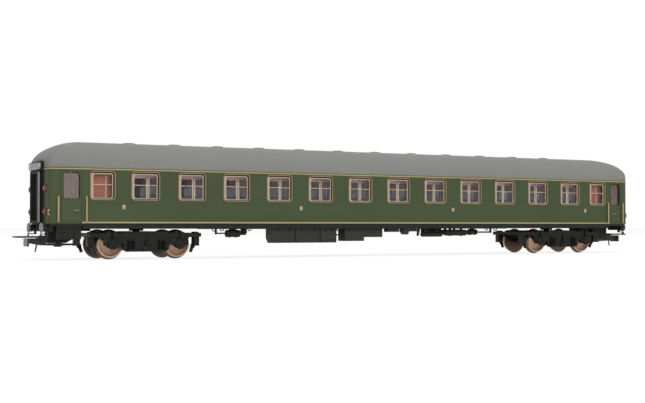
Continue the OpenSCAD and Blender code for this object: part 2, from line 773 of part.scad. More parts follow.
side_wall(-1);  // side_wall_left
side_wall(1);  // side_wall_right
end_wall(-1);  // end_wall_front
end_wall(1);  // end_wall_rear
gangway_doors();
roof();
roof_vents();
rain_gutters();
window_frames(-1);  // window_frames_left
window_frames(1);  // window_frames_right
glazing(-1);  // glazing_left
glazing(1);  // glazing_right
chassis();
coupler_brackets();
gangway(-1);  // gangway_front
gangway(1);  // gangway_rear
gangway_canopies();
buffers();
shunter_steps();
door_steps();
handrails();
tail_lamps();
battery_boxes();
equipment_boxes();
air_reservoirs();
brake_cylinder();
dynamo();
brake_rods();
steam_pipe_rings();
interior_floor();
partitions();
seats();
washroom_panels();
ballast_plate();
bogie_frame(-1);  // bogie_frame_front
bogie_frame(1);  // bogie_frame_rear
axleboxes(-1);  // axleboxes_front
axleboxes(1);  // axleboxes_rear
brake_gear(-1);  // brake_gear_front
brake_gear(1);  // brake_gear_rear
axle(wheelset_x(1));  // axle_1
axle(wheelset_x(2));  // axle_2
axle(wheelset_x(3));  // axle_3
axle(wheelset_x(4));  // axle_4
wheels(wheelset_x(1));  // wheels_1
wheels(wheelset_x(2));  // wheels_2
wheels(wheelset_x(3));  // wheels_3
wheels(wheelset_x(4));  // wheels_4
coupler_arm(-1);  // coupler_arm_front
coupler_arm(1);  // coupler_arm_rear
coupling_loop(-1);  // coupling_loop_front
coupling_loop(1);  // coupling_loop_rear
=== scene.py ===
"""Looks of a twelve-compartment corridor coach, a scale model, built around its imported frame.

Pieces are drawn in millimetres: +X runs to the rear end, the corridor side faces -Y and
the wheel flanges stand on z = 0. settle() turns a piece into metres and puts it on its body.
"""
import math

import bmesh
import bpy
from mathutils import Matrix, Vector


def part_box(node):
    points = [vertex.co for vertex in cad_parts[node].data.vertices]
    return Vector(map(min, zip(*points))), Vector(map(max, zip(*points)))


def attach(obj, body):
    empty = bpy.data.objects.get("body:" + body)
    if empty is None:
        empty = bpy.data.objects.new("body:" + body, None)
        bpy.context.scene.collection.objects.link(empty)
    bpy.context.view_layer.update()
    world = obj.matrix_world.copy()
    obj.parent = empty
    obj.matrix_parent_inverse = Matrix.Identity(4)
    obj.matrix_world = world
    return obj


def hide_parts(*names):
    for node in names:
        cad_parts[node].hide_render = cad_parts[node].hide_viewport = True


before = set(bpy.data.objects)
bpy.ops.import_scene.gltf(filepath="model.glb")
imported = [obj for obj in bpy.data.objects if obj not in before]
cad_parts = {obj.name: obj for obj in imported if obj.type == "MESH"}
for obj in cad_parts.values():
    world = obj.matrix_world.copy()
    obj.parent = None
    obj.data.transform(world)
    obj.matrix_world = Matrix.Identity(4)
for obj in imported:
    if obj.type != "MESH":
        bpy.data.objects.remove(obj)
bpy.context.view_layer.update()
scene = bpy.context.scene
MM = 0.001

# ---------------------------------------------------------------- studio
# A white room with a pale floor. One broad lamp stands in front and one hangs overhead, at
# a level where a finish looks as its colour is written.


class Board:
    """A node tree, with one way to add a node: its type, its settings, and its sockets."""

    def __init__(self, tree):
        self.tree = tree
        self.tree.nodes.clear()

    def add(self, kind, settings=None, sockets=None, output=0):
        node = self.tree.nodes.new(kind)
        for name, value in (settings or {}).items():
            setattr(node, name, value)
        for name, value in (sockets or {}).items():
            socket = next(s for s in node.inputs if name in (s.identifier, s.name))
            if isinstance(value, Wire):
                self.tree.links.new(value.socket, socket)
            else:
                socket.default_value = value
        if not node.outputs:
            return None
        if isinstance(output, str):
            output = next(k for k, s in enumerate(node.outputs) if output in (s.identifier, s.name))
        return Wire(self, node.outputs[output])


class Wire:
    """An output socket that can be used in sums; each sum adds a Math node."""

    def __init__(self, board, socket):
        self.board = board
        self.socket = socket

    def math(self, operation, first, second=0.0):
        sockets = {"Value": first, "Value_001": second}
        return self.board.add("ShaderNodeMath", {"operation": operation}, sockets)

    def __add__(self, other):
        return self.math("ADD", self, other)

    def __radd__(self, other):
        return self.math("ADD", other, self)

    def __sub__(self, other):
        return self.math("SUBTRACT", self, other)

    def __rsub__(self, other):
        return self.math("SUBTRACT", other, self)

    def __mul__(self, other):
        return self.math("MULTIPLY", self, other)

    def __rmul__(self, other):
        return self.math("MULTIPLY", other, self)

    def __gt__(self, other):
        return self.math("GREATER_THAN", self, other)

    def __abs__(self):
        return self.math("ABSOLUTE", self)


def srgb(red, green, blue):
    """A colour written from 0 to 255, as the linear colour that a shader takes."""
    parts = [c / 255 for c in (red, green, blue)]
    return [c / 12.92 if c < 0.04045 else ((c + 0.055) / 1.055) ** 2.4 for c in parts] + [1.0]


def placed(name, data):
    """A new object in the scene."""
    thing = bpy.data.objects.new(name, data)
    scene.collection.objects.link(thing)
    return thing


world = bpy.data.worlds.new("white_room")
scene.world = world
world.use_nodes = True
room = Board(world.node_tree)


def in_view(board):
    """1 where a ray from the camera, a mirror or a pane meets the surface, 0 for light."""
    rays = [board.add("ShaderNodeLightPath", output=f"Is {kind} Ray")
            for kind in ("Camera", "Glossy", "Transmission")]
    return sum(rays) > 0.5


ROOM_LIGHT = 0.42
room_strength = ROOM_LIGHT + in_view(room) * (1 - ROOM_LIGHT)
room_shader = room.add("ShaderNodeBackground", {}, {"Color": (1, 1, 1, 1), "Strength": room_strength})
room.add("ShaderNodeOutputWorld", {}, {"Surface": room_shader})

floor_mesh = bpy.data.meshes.new("floor")
reach = 6.0
floor_mesh.from_pydata([(x * reach, y * reach, -1e-5)
                        for x, y in ((-1, -1), (1, -1), (1, 1), (-1, 1))], [], [(0, 1, 2, 3)])
floor = placed("floor", floor_mesh)
floor_paint = bpy.data.materials.new("pale_floor")
floor_paint.use_nodes = True
floor_board = Board(floor_paint.node_tree)
floor_diffuse = floor_board.add("ShaderNodeBsdfDiffuse", {}, {"Color": (0.9, 0.9, 0.9, 1)})
GLOW = 1.25
GLOW_SHARE = 0.66
floor_glow = floor_board.add("ShaderNodeEmission", {}, {"Color": (1, 1, 1, 1), "Strength": GLOW})
floor_mix = floor_board.add("ShaderNodeMixShader", {}, {
    "Fac": in_view(floor_board) * GLOW_SHARE, "Shader": floor_diffuse, "Shader_001": floor_glow})
floor_board.add("ShaderNodeOutputMaterial", {}, {"Surface": floor_mix})
floor_mesh.materials.append(floor_paint)


def lamp(name, place, aim, width, power):
    """A square soft lamp at a place, turned to its aim."""
    light = bpy.data.lights.new(name, "AREA")
    light.size = width
    light.energy = power
    stand = placed(name, light)
    stand.location = place
    stand.rotation_euler = (Vector(aim) - Vector(place)).to_track_quat("-Z", "Y").to_euler()


lamp("front_lamp", (-0.1, -1.5, 0.45), (0, 0, 0.02), 0.9, 6.0)
lamp("overhead_lamp", (0.0, 0.0, 1.3), (0, 0, 0.02), 1.0, 4.4)

camera = bpy.data.cameras.new("camera")
camera.lens = 63.65
camera.sensor_width = 36.0
camera.clip_start = 0.01
viewpoint = placed("camera", camera)
viewpoint.location = (-0.26815, -0.45503, 0.013705)
viewpoint.rotation_euler = (math.radians(91.21), 0.0, math.radians(-28.557))
scene.camera = viewpoint
scene.view_settings.view_transform = "Standard"

# ---------------------------------------------------------------- body shell
# Sides and ends of the coach are one plastic moulding with its doors moulded shut, sprayed
# in satin green. Its edges have the small radius of the mould.


class Finish(Board):
    """A material of one shader, its patterns drawn in millimetres. The slot it is given is stored and
    not used.
    """

    def __init__(self, name, slot=None):
        self.slot = slot
        self.material = bpy.data.materials.new(name)
        self.material.use_nodes = True
        super().__init__(self.material.node_tree)
        place = self.add("ShaderNodeTexCoord", output="Object")
        self.place = self.add("ShaderNodeVectorMath", {"operation": "SCALE"},
                              {"Vector": place, "Scale": 1 / MM})

    def noise(self, scale, detail=2.0, squash=(1, 1, 1)):
        where = self.add("ShaderNodeVectorMath", {"operation": "MULTIPLY"},
                         {"Vector": self.place, "Vector_001": squash})
        return self.add("ShaderNodeTexNoise", {},
                        {"Vector": where, "Scale": scale, "Detail": detail}, "Fac")

    def along(self, axis):
        return self.add("ShaderNodeSeparateXYZ", {}, {"Vector": self.place}, axis)

    def ramp(self, value, low, high):
        """The value's way from low to high, as a share from 0 to 1."""
        return self.add("ShaderNodeMapRange", {},
                        {"Value": value, "From Min": low, "From Max": high}, "Result")

    def blend(self, share, first, second):
        return self.add("ShaderNodeMix", {"data_type": "RGBA"},
                        {"Factor_Float": share, "A_Color": first, "B_Color": second},
                        "Result_Color")

    def tones(self, dark, pale, *noises):
        """Two tones mixed by a sum of noises, each given as (weight, scale, detail)."""
        share = sum(self.noise(*noise[1:]) * noise[0] for noise in noises)
        return self.blend(share, srgb(*dark), srgb(*pale))

    def relief(self, height, depth):
        return self.add("ShaderNodeBump", {},
                        {"Height": height, "Distance": depth * MM, "Strength": 1.0})

    def surface(self, **sockets):
        named = {name.replace("_", " "): value for name, value in sockets.items()}
        shader = self.add("ShaderNodeBsdfPrincipled", {}, named)
        self.add("ShaderNodeOutputMaterial", {}, {"Surface": shader})

    def coat(self, colour, gloss, bump, **more):
        """A surface: gloss is the least, a noise and its spread, and bump a noise and a depth."""
        self.surface(Base_Color=colour, Roughness=gloss[0] + self.noise(*gloss[1:-1]) * gloss[-1],
                     Normal=self.relief(self.noise(*bump[:-1]), bump[-1]), **more)


def mixed(name, slot, dark, pale, noises, gloss, bump, **more):
    """A finish of two tones."""
    finish = Finish(name, slot)
    finish.coat(finish.tones(dark, pale, *noises), gloss, bump, **more)
    return finish


def box(name):
    """The lowest and highest corners of a frame node, in millimetres."""
    low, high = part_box(name)
    return low / MM, high / MM


def stock(name, work, crease=25.0, turn_out=True):
    """Turns finished work into a mesh in metres, with sharp edges where it creases."""
    if turn_out:
        bmesh.ops.recalc_face_normals(work, faces=work.faces)
    mesh = bpy.data.meshes.new(name)
    work.to_mesh(mesh)
    work.free()
    mesh.transform(Matrix.Scale(MM, 4))
    mesh.shade_smooth()
    mesh.set_sharp_from_angle(angle=math.radians(crease))
    return mesh


def mount(name, mesh, finish, *stands_for, body="coach_body", slot=None):
    """Makes a mesh a painted piece that rides on a body and stands for some frame nodes."""
    mesh.materials.clear()
    mesh.materials.append(finish.material)
    piece = placed(name, mesh)
    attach(piece, body)
    if stands_for:
        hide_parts(*stands_for)
    return piece


def settle(name, work, finish, *stands_for, crease=25.0, turn_out=True, **choice):
    """Turns finished work straight into a piece, with mount's choice of body; a slot given to mount is
    not used.
    """
    return mount(name, stock(name, work, crease, turn_out), finish, *stands_for, **choice)


def merged(*names):
    """The frame nodes as one mesh in millimetres, their coincident corners welded."""
    work = bmesh.new()
    for name in names:
        work.from_mesh(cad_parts[name].data)
    bmesh.ops.scale(work, vec=(1 / MM, 1 / MM, 1 / MM), verts=work.verts)
    bmesh.ops.remove_doubles(work, verts=work.verts, dist=0.001)
    return work


def soften(work, radius, steps=2):
    """Rounds the outer edges of the work as a mould does."""
    bmesh.ops.dissolve_limit(work, angle_limit=math.radians(0.5), verts=work.verts, edges=work.edges)
    edges = [e for e in work.edges
             if e.is_manifold and e.is_convex and e.calc_face_angle() > math.radians(30)]
    bmesh.ops.bevel(work, geom=edges, offset=radius, segments=steps, profile=0.5,
                    affect="EDGES", clamp_overlap=True)
    return work


def moulded(name, radius, finish, *nodes, **choice):
    """A moulding with the shape of some frame nodes, and with softened edges."""
    settle(name, soften(merged(*nodes), radius), finish, *nodes, turn_out=False, **choice)


green_paint = mixed("green_paint", "body_paint", (76, 86, 59), (86, 97, 67), [(0.7, 0.04), (0.3, 1.6)],
                    (0.5, 0.5, 0.12), (4.0, 3.0, 0.003), Specular_IOR_Level=0.1, Coat_Weight=0.05)

side_high = box("side_wall_left")[1]
walls = ("side_wall_left", "side_wall_right", "end_wall_front", "end_wall_rear")
shell = merged(*walls)
inner_seams = [f for f in shell.faces if all(abs(abs(v.co.x) - side_high.x) < 0.001 for v in f.verts)]
bmesh.ops.delete(shell, geom=inner_seams, context="FACES_ONLY")
settle("body_shell", soften(shell, 0.05), green_paint, *walls, turn_out=False)

# ---------------------------------------------------------------- roof and vents
# The roof is one moulding that clips on the body, with a dome at each end, sprayed in
# matt grey. Twelve oval vents stand in a row beside its crown.


def skin(work, rings, loop=False, around=True):
    """Joins rings of points with faces; a ring of one point closes a pole."""
    made = [[work.verts.new(p) for p in ring] for ring in rings]
    pairs = list(zip(made, made[1:])) + ([(made[-1], made[0])] if loop else [])
    for low, high in pairs:
        count = max(len(low), len(high))
        for k in range(count if around else count - 1):
            corners = [low[k % len(low)], low[(k + 1) % len(low)],
                       high[(k + 1) % len(high)], high[k % len(high)]]
            work.faces.new(list(dict.fromkeys(corners)))
    return made


def solid(work, rings, around=True):
    """Joins rings of points, and closes the first and the last with a face."""
    made = skin(work, rings, around=around)
    work.faces.new(made[0])
    work.faces.new(made[-1])


grey_paint = mixed("grey_paint", "roof_paint", (138, 139, 134), (152, 153, 148),
                   [(0.6, 0.05), (0.4, 0.9, 4.0)], (0.58, 0.6, 0.14), (5.0, 3.0, 0.004),
                   Specular_IOR_Level=0.35)

TAPER_X = 135.5
END_HALF_W = 14.9
CORNER_R = 2.0
DOME_L = 16.0
DOME_Z = 38.6
ROOF_POWER = 2.25
END_POWER = 5.75
WALL_T = 1.2
roof_high = box("roof")[1]
half_l = roof_high.x
half_w = roof_high.y
corner_x = half_l - CORNER_R
taper_slope = (half_w - END_HALF_W) / (corner_x - TAPER_X)


def half_width(x):
    """Half the body's width at x, which tapers and turns the corner at the ends."""
    out = abs(x)
    if out <= TAPER_X:
        return half_w
    if out <= corner_x:
        return half_w - taper_slope * (out - TAPER_X)
    return END_HALF_W - CORNER_R + math.sqrt(max(CORNER_R ** 2 - (out - corner_x) ** 2, 0))


def roof_arch(x, points=48):
    """The roof's cross-section at x, which grows squarer over the dome."""
    share = max(0.0, (abs(x) - half_l + DOME_L) / DOME_L)
    rise = DOME_Z - side_high.z + (roof_high.z - DOME_Z) * math.sqrt(max(1 - share ** 2, 0))
    power = ROOF_POWER + (END_POWER - ROOF_POWER) * share ** 2
    arch = []
    for k in range(points + 1):
        angle = math.pi * k / points
        side = math.copysign(abs(math.cos(angle)) ** (2 / power), math.cos(angle))
        up = max(math.sin(angle), 0) ** (2 / power)
        arch.append(Vector((x, half_width(x) * side, side_high.z + rise * up)))
    return arch


dome_xs = [half_l - DOME_L + DOME_L * math.sin(math.radians(3.75 * k)) for k in range(25)]
roof_xs = [-x for x in reversed(dome_xs)] + dome_xs
roof_work = bmesh.new()
solid(roof_work, [roof_arch(x) for x in roof_xs], around=False)
roof = settle("roof_shell", roof_work, grey_paint, "roof", crease=40.0)
thickness = roof.modifiers.new("thickness", "SOLIDIFY")
thickness.thickness = WALL_T * MM
thickness.offset = -1.0


def input_of(tree, name):
    """The identifier of a Geometry Nodes tree's named input."""
    return next(i.identifier for i in tree.interface.items_tree
                if i.name == name and i.in_out == "INPUT")


def new_tree(name, **inputs):
    """A Geometry Nodes tree with a geometry in and out, and its own named inputs."""
    tree = bpy.data.node_groups.new(name, "GeometryNodeTree")
    tree.interface.new_socket("Geometry", in_out="INPUT", socket_type="NodeSocketGeometry")
    for label, kind in inputs.items():
        tree.interface.new_socket(label, in_out="INPUT", socket_type="NodeSocket" + kind)
    tree.interface.new_socket("Geometry", in_out="OUTPUT", socket_type="NodeSocketGeometry")
    return tree, Board(tree)


def baked(holder, tree, **values):
    """Runs a tree on an object and gives the plain mesh that comes out."""
    stage = holder.modifiers.new("make", "NODES")
    stage.node_group = tree
    for label, value in values.items():
        stage[input_of(tree, label)] = value
    bpy.context.view_layer.update()
    drawn = holder.evaluated_get(bpy.context.evaluated_depsgraph_get())
    mesh = bpy.data.meshes.new_from_object(drawn)
    bpy.data.objects.remove(holder)
    return mesh


def end_tree(board, geometry):
    """Closes a tree: its geometry gets the finish that the tree is given."""
    painted = board.add("GeometryNodeSetMaterial", {}, {
        "Geometry": geometry, "Material": board.add("NodeGroupInput", output="Finish")})
    board.add("NodeGroupOutput", {}, {"Geometry": painted})


set_out_tree, set_out = new_tree("set_out", Part="Object", Finish="Material")
part_shape = set_out.add("GeometryNodeObjectInfo", {},
                         {"Object": set_out.add("NodeGroupInput", output="Part")}, "Geometry")
part_turn = set_out.add("GeometryNodeInputNamedAttribute", {"data_type": "FLOAT"},
                        {"Name": "turn"}, "Attribute")
part_upright = set_out.add("ShaderNodeCombineXYZ", {}, {"Z": part_turn})
part_heading = set_out.add("FunctionNodeEulerToRotation", {}, {"Euler": part_upright})
part_copies = set_out.add("GeometryNodeInstanceOnPoints", {}, {
    "Points": set_out.add("NodeGroupInput", output="Geometry"),
    "Instance": part_shape, "Rotation": part_heading})
end_tree(set_out, set_out.add("GeometryNodeRealizeInstances", {}, {"Geometry": part_copies}))


def laid_out(name, work, places, finish, *stands_for, crease=25.0, **choice):
    """Copies of a part at places (x, y, z, turn in degrees), made as one piece."""
    part = placed(name + "_part", stock(name, work, crease))
    dots = bpy.data.meshes.new(name + "_places")
    dots.from_pydata([Vector(place[:3]) * MM for place in places], [], [])
    turns = dots.attributes.new("turn", "FLOAT", "POINT")
    turns.data.foreach_set("value", [math.radians(place[3]) for place in places])
    mesh = baked(placed(name + "_places", dots), set_out_tree, Part=part, Finish=finish.material)
    bpy.data.objects.remove(part)
    mount(name, mesh, finish, *stands_for, **choice)


VENT_L = 6.2
VENT_W = 3.2
vent_low, vent_high = box("roof_vents")
bays = 12
bay_pitch = (vent_high.x - vent_low.x - VENT_L) / (bays - 1)
bay_xs = [(k - (bays - 1) / 2) * bay_pitch for k in range(bays)]
VENT_RISE = [(0.0, 1.9), (1.0, 1.9), (1.0, 1.05), (1.08, 0.98), (1.08, 0.88), (0.97, 0.84),
             (0.93, 0.45), (0.84, 0.2), (0.68, 0.06), (0.4, 0.01), (0.0, 0.0)]
vent_work = bmesh.new()
vent_rings = []
for share, drop in VENT_RISE:
    around = [math.tau * k / 32 for k in range(32)] if share else [0.0]
    vent_rings.append([(VENT_L / 2 * share * math.cos(a), VENT_W / 2 * share * math.sin(a), -drop)
                       for a in around])
skin(vent_work, vent_rings)
vent_y = (vent_low.y + vent_high.y) / 2
laid_out("roof_vent_domes", vent_work, [(x, vent_y, vent_high.z, 0) for x in bay_xs],
         grey_paint, "roof_vents", crease=35.0)

# ---------------------------------------------------------------- gutters and lines
# A half-round rib under the roof's edge carries a yellow line on each side, round the
# corners up to the gangway, between olive shades. The rib's middle is painted a paler
# yellow, a painted highlight along its crown. A second line is printed along the foot.

wire_tree, wire_board = new_tree("drawn_wire", Radius="Float", Finish="Material")
wire_line = wire_board.add("GeometryNodeMeshToCurve", {},
                           {"Mesh": wire_board.add("NodeGroupInput", output="Geometry")})
wire_round = wire_board.add("GeometryNodeCurvePrimitiveCircle", {}, {
    "Resolution": 12, "Radius": wire_board.add("NodeGroupInput", output="Radius")})
wire_skin = wire_board.add("GeometryNodeCurveToMesh", {}, {
    "Curve": wire_line, "Profile Curve": wire_round, "Fill Caps": True})
end_tree(wire_board, wire_skin)


def wires(name, paths, radius, finish, *stands_for, closed=False, **choice):
    """Round wires along some paths, made as one piece."""
    points, links = [], []
    for path in paths:
        first = len(points)
        points += [Vector(p) * MM for p in path]
        links += [(k, k + 1) for k in range(first, len(points) - 1)]
        if closed:
            links.append((len(points) - 1, first))
    line = bpy.data.meshes.new(name + "_line")
    line.from_pydata(points, links, [])
    mesh = baked(placed(name + "_line", line), wire_tree, Radius=radius * MM, Finish=finish.material)
    mesh.shade_smooth()
    mesh.set_sharp_from_angle(angle=math.radians(40))
    mount(name, mesh, finish, *stands_for, **choice)


yellow_print = mixed("yellow_print", "gutter_line", (182, 168, 120), (200, 188, 138), [(1, 0.3, 3.0)],
                     (0.4, 1.0, 0.1), (5.0, 0.002))

GUTTER_R = 0.26
CANOPY_HALF = 7.9
gutter_low, gutter_high = box("rain_gutters")
gutter_z = (gutter_low.z + gutter_high.z) / 2


def wall_line(side, z, proud=0.0):
    """The wall's outer edge on one side at a height, with both of its corners."""
    turn_r = CORNER_R + proud
    half = [(half_l - CORNER_R + turn_r * math.cos(a), END_HALF_W - CORNER_R + turn_r * math.sin(a))
            for a in (math.radians(83.5 * k / 10) for k in range(11))]
    half = [(half_l + proud, CANOPY_HALF)] + half + [(TAPER_X, half_w + proud)]
    path = half + [(-x, y) for x, y in reversed(half)]
    return [(x, side * y, z) for x, y in path]


OLIVE = ((88, 84, 56), (110, 104, 72))
PRINT_GRAIN = (1, 0.3, 3.0)
gutter_print_and_highlight = Finish("gutter_print_and_highlight", "gutter_line")
# The paler yellow in the rib's middle is a painted highlight; the olive at its top and foot is print.
off_middle = gutter_print_and_highlight.ramp(abs(gutter_print_and_highlight.along("Z") - gutter_z), 0.1, 0.2)
gutter_print_and_highlight.coat(
    gutter_print_and_highlight.blend(off_middle,
                       gutter_print_and_highlight.tones((206, 190, 138), (222, 208, 158), PRINT_GRAIN),
                       gutter_print_and_highlight.tones(*OLIVE, PRINT_GRAIN)),
    (0.42, 1.0, 0.1), (5.0, 0.002), Specular_IOR_Level=0.25)
wires("gutter_ribs", [wall_line(side, gutter_z) for side in (-1, 1)], GUTTER_R,
      gutter_print_and_highlight, "rain_gutters")

olive_print = mixed("olive_print", "gutter_line", *OLIVE, [PRINT_GRAIN], (0.45, 1.0, 0.1),
                    (5.0, 0.002), Specular_IOR_Level=0.25)


def band(sunk, proud, low, high):
    """The four corners (proud of the wall, height) of a band's section."""
    return (sunk, low), (proud, low), (proud, high), (sunk, high)


SHADE_BAND = band(-0.1, 0.05, gutter_z - 0.62, gutter_z + 0.5)
shade_work = bmesh.new()
for side in (-1, 1):
    edges = [wall_line(side, z, proud) for proud, z in SHADE_BAND]
    solid(shade_work, list(zip(*edges)))
settle("gutter_shades", shade_work, olive_print)

LINE_X = 136.8
LINE_BAND = band(-0.02, 0.03, 14.66, 15.2)
line_work = bmesh.new()
for side in (-1, 1):
    solid(line_work, [[(x, side * (half_width(x) + proud), z) for proud, z in LINE_BAND]
                      for x in (-LINE_X, -TAPER_X, TAPER_X, LINE_X)])
settle("foot_lines", line_work, yellow_print)

# ---------------------------------------------------------------- blank plates
# Four small plates on each side show where the class numbers would be. They are printed
# yellow and stay blank.


def rounded(width, height, radius, steps=4):
    """A rectangle with round corners about the origin, as points in a plane."""
    corners = ((1, 1), (-1, 1), (-1, -1), (1, -1))
    return [(sx * (width / 2 - radius) + radius * math.cos(math.pi / 2 * (q + k / steps)),
             sz * (height / 2 - radius) + radius * math.sin(math.pi / 2 * (q + k / steps)))
            for q, (sx, sz) in enumerate(corners) for k in range(steps + 1)]


PLATE_W = 1.35
PLATE_H = 1.8
PLATE_Z = 21.15
PLATE_XS = (-119.8, -39.9, 40.1, 120.4)
TURN = {-1: 0, 1: 180}  # degrees that turn a part drawn for the left side to face each side
plate_work = bmesh.new()
solid(plate_work, [[(x, -y, z) for x, z in rounded(PLATE_W - cut, PLATE_H - cut, 0.4)]
                   for y, cut in ((-0.02, 0.0), (0.03, 0.0), (0.05, 0.1))])
laid_out("class_plates", plate_work,
         [(-side * x, side * half_w, PLATE_Z, TURN[side]) for side in (-1, 1) for x in PLATE_XS],
         yellow_print)

# ---------------------------------------------------------------- window frames
# Each window has a thin metal trim on the wall with a rubber seal inside it. In the seal
# sits a cream sash, wider at its top and front edges, with a thin bar across.


def slab(work, low, high, radius=0.08):
    """Adds a block between two opposite corners, in any order, with its edges rounded."""
    low, high = Vector(low), Vector(high)
    verts = bmesh.ops.create_cube(work, size=1.0)["verts"]
    bmesh.ops.scale(work, vec=[abs(s) for s in high - low], verts=verts)
    bmesh.ops.translate(work, vec=(low + high) / 2, verts=verts)
    bmesh.ops.bevel(work, geom=list({e for v in verts for e in v.link_edges}), offset=radius,
                    segments=2, profile=0.5, affect="EDGES", clamp_overlap=True)


trim_metal = mixed("trim_metal", "window_metal", (150, 130, 98), (176, 156, 122), [(1, 0.25, 3.0)],
                   (0.34, 2.0, 0.14), (6.0, 0.002), Metallic=0.25)

sash_cream = mixed("sash_cream", "window_metal", (190, 168, 148), (212, 190, 172), [(1, 0.3, 3.0)],
                   (0.36, 2.0, 0.12), (6.0, 0.002), Metallic=0.1)

black_rubber = mixed("black_rubber", "gangway_rubber", (28, 28, 27), (42, 42, 40), [(1, 0.8, 4.0)],
                     (0.62, 1.5, 0.2), (7.0, 3.0, 0.006), Specular_IOR_Level=0.2)

WASH_W = 10.4
WINDOW_W = 12.2
WINDOW_R = 1.5
frames_low, frames_high = box("window_frames_left")
WINDOW_H = frames_high.z - frames_low.z
window_z = (frames_low.z + frames_high.z) / 2
wash_x = frames_high.x - WASH_W / 2
TRIM_PROFILE = [(0, -0.05), (0, 0.1), (0.05, 0.15), (0.26, 0.15), (0.32, 0.08), (0.38, -0.2),
                (0.38, -0.85), (0.36, -0.85), (0.36, -0.05)]
SEAL_PROFILE = [(0.38, -0.62), (0.62, -0.52), (0.88, -0.62), (0.88, -0.84), (0.38, -0.84)]
SASH_FACE = 0.28
SASH_BACK = 0.82
SASH_OUTER = (0.5, 0.92, 0.85, 0.58)
SASH_INNER = (1.4, 1.3, 1.3, 0.92)
SASH_BAR = (0.2, 0.54)


def window_ring(width, profile):
    """A ring round a window from (inset, proud) pairs, on the side that faces -Y."""
    work = bmesh.new()
    skin(work, [[(x, -proud, z) for x, z in rounded(width - 2 * inset, WINDOW_H - 2 * inset,
                                                    max(WINDOW_R - inset, 0.3))]
                for inset, proud in profile], loop=True)
    return work


def inset_ring(width, insets, grow, y):
    """A window-shaped ring of points, inset by its own amount at left, right, top and foot."""
    left, right, top, foot = [inset - grow for inset in insets]
    shift_x, shift_z = (left - right) / 2, (foot - top) / 2
    return [(x + shift_x, y, z + shift_z)
            for x, z in rounded(width - left - right, WINDOW_H - top - foot, 0.75)]


def window_sash(width):
    """The sash with its bar, for the side that faces -Y."""
    work = bmesh.new()
    skin(work, [inset_ring(width, SASH_OUTER, 0.0, SASH_BACK),
                inset_ring(width, SASH_OUTER, 0.0, SASH_FACE + 0.08),
                inset_ring(width, SASH_OUTER, -0.08, SASH_FACE),
                inset_ring(width, SASH_INNER, 0.06, SASH_FACE),
                inset_ring(width, SASH_INNER, 0.0, SASH_FACE + 0.06),
                inset_ring(width, SASH_INNER, 0.0, SASH_BACK)], loop=True)
    slab(work, (-width / 2 + SASH_INNER[0] - 0.1, SASH_FACE + 0.06, SASH_BAR[0]),
         (width / 2 - SASH_INNER[1] + 0.1, SASH_BACK, SASH_BAR[1]), 0.06)
    return work


WINDOW_KINDS = (("compartment", WINDOW_W, bay_xs), ("washroom", WASH_W, (-wash_x, wash_x)))
for label, side in (("left", -1), ("right", 1)):
    for kind, width, xs in WINDOW_KINDS:
        places = [(x, side * half_w, window_z, TURN[side]) for x in xs]
        stands_for = [f"window_frames_{label}"] if kind == "compartment" else []
        laid_out(f"{kind}_trims_{label}", window_ring(width, TRIM_PROFILE), places, trim_metal,
                 *stands_for)
        laid_out(f"{kind}_seals_{label}", window_ring(width, SEAL_PROFILE), places, black_rubber,
                 crease=60.0)
        laid_out(f"{kind}_sashes_{label}", window_sash(width), places, sash_cream)

# ---------------------------------------------------------------- panes
# The panes are clear mouldings pressed in from behind. Those of the doors are bare at the
# edge, with a black rubber lip in the wall's opening, which is also painted shade for the
# shadow in the reveal, and a moulded, pleated blind behind.

clear_pane = Finish("clear_pane")
pane_glass = clear_pane.add("ShaderNodeBsdfPrincipled", {}, {
    "Base Color": (0.96, 0.97, 0.96, 1), "Roughness": 0.015, "IOR": 1.3,
    "Transmission Weight": 1.0,
    "Normal": clear_pane.relief(clear_pane.noise(0.25), 0.004)})
pane_lets_light = clear_pane.add("ShaderNodeBsdfTransparent", {}, {"Color": (0.97, 0.97, 0.97, 1)})
pane_mix = clear_pane.add("ShaderNodeMixShader", {}, {
    "Fac": clear_pane.add("ShaderNodeLightPath", output="Is Shadow Ray"),
    "Shader": pane_glass, "Shader_001": pane_lets_light})
clear_pane.add("ShaderNodeOutputMaterial", {}, {"Surface": pane_mix})


def repaint(name, finish):
    """Gives a frame node that stays its own finish."""
    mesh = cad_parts[name].data
    mesh.materials.clear()
    mesh.materials.append(finish.material)


repaint("glazing_left", clear_pane)
repaint("glazing_right", clear_pane)

DOOR_X = 141.0
DOOR_GLASS_W = 6.5
DOOR_GLASS_H = 10.6
DOOR_GLASS_Z = 24.1 + DOOR_GLASS_H / 2
taper_turn = math.degrees(math.atan(taper_slope))
quarters = [(end, side) for end in (-1, 1) for side in (-1, 1)]
door_places = [(end * DOOR_X, side * half_width(DOOR_X), DOOR_GLASS_Z,
                TURN[side] - side * end * taper_turn) for end, side in quarters]
# The lip's black ring is partly painted shade: it stands for the shadow in the door opening's reveal.
lip_work = bmesh.new()
skin(lip_work, [[(x, y, z) for x, z in rounded(DOOR_GLASS_W - cut, DOOR_GLASS_H - cut, 0.7)]
                for cut, y in ((-0.02, 0.1), (-0.02, 0.55), (0.34, 0.55), (0.34, 0.18), (0.2, 0.1))],
     loop=True)
laid_out("door_pane_lips", lip_work, door_places, black_rubber)

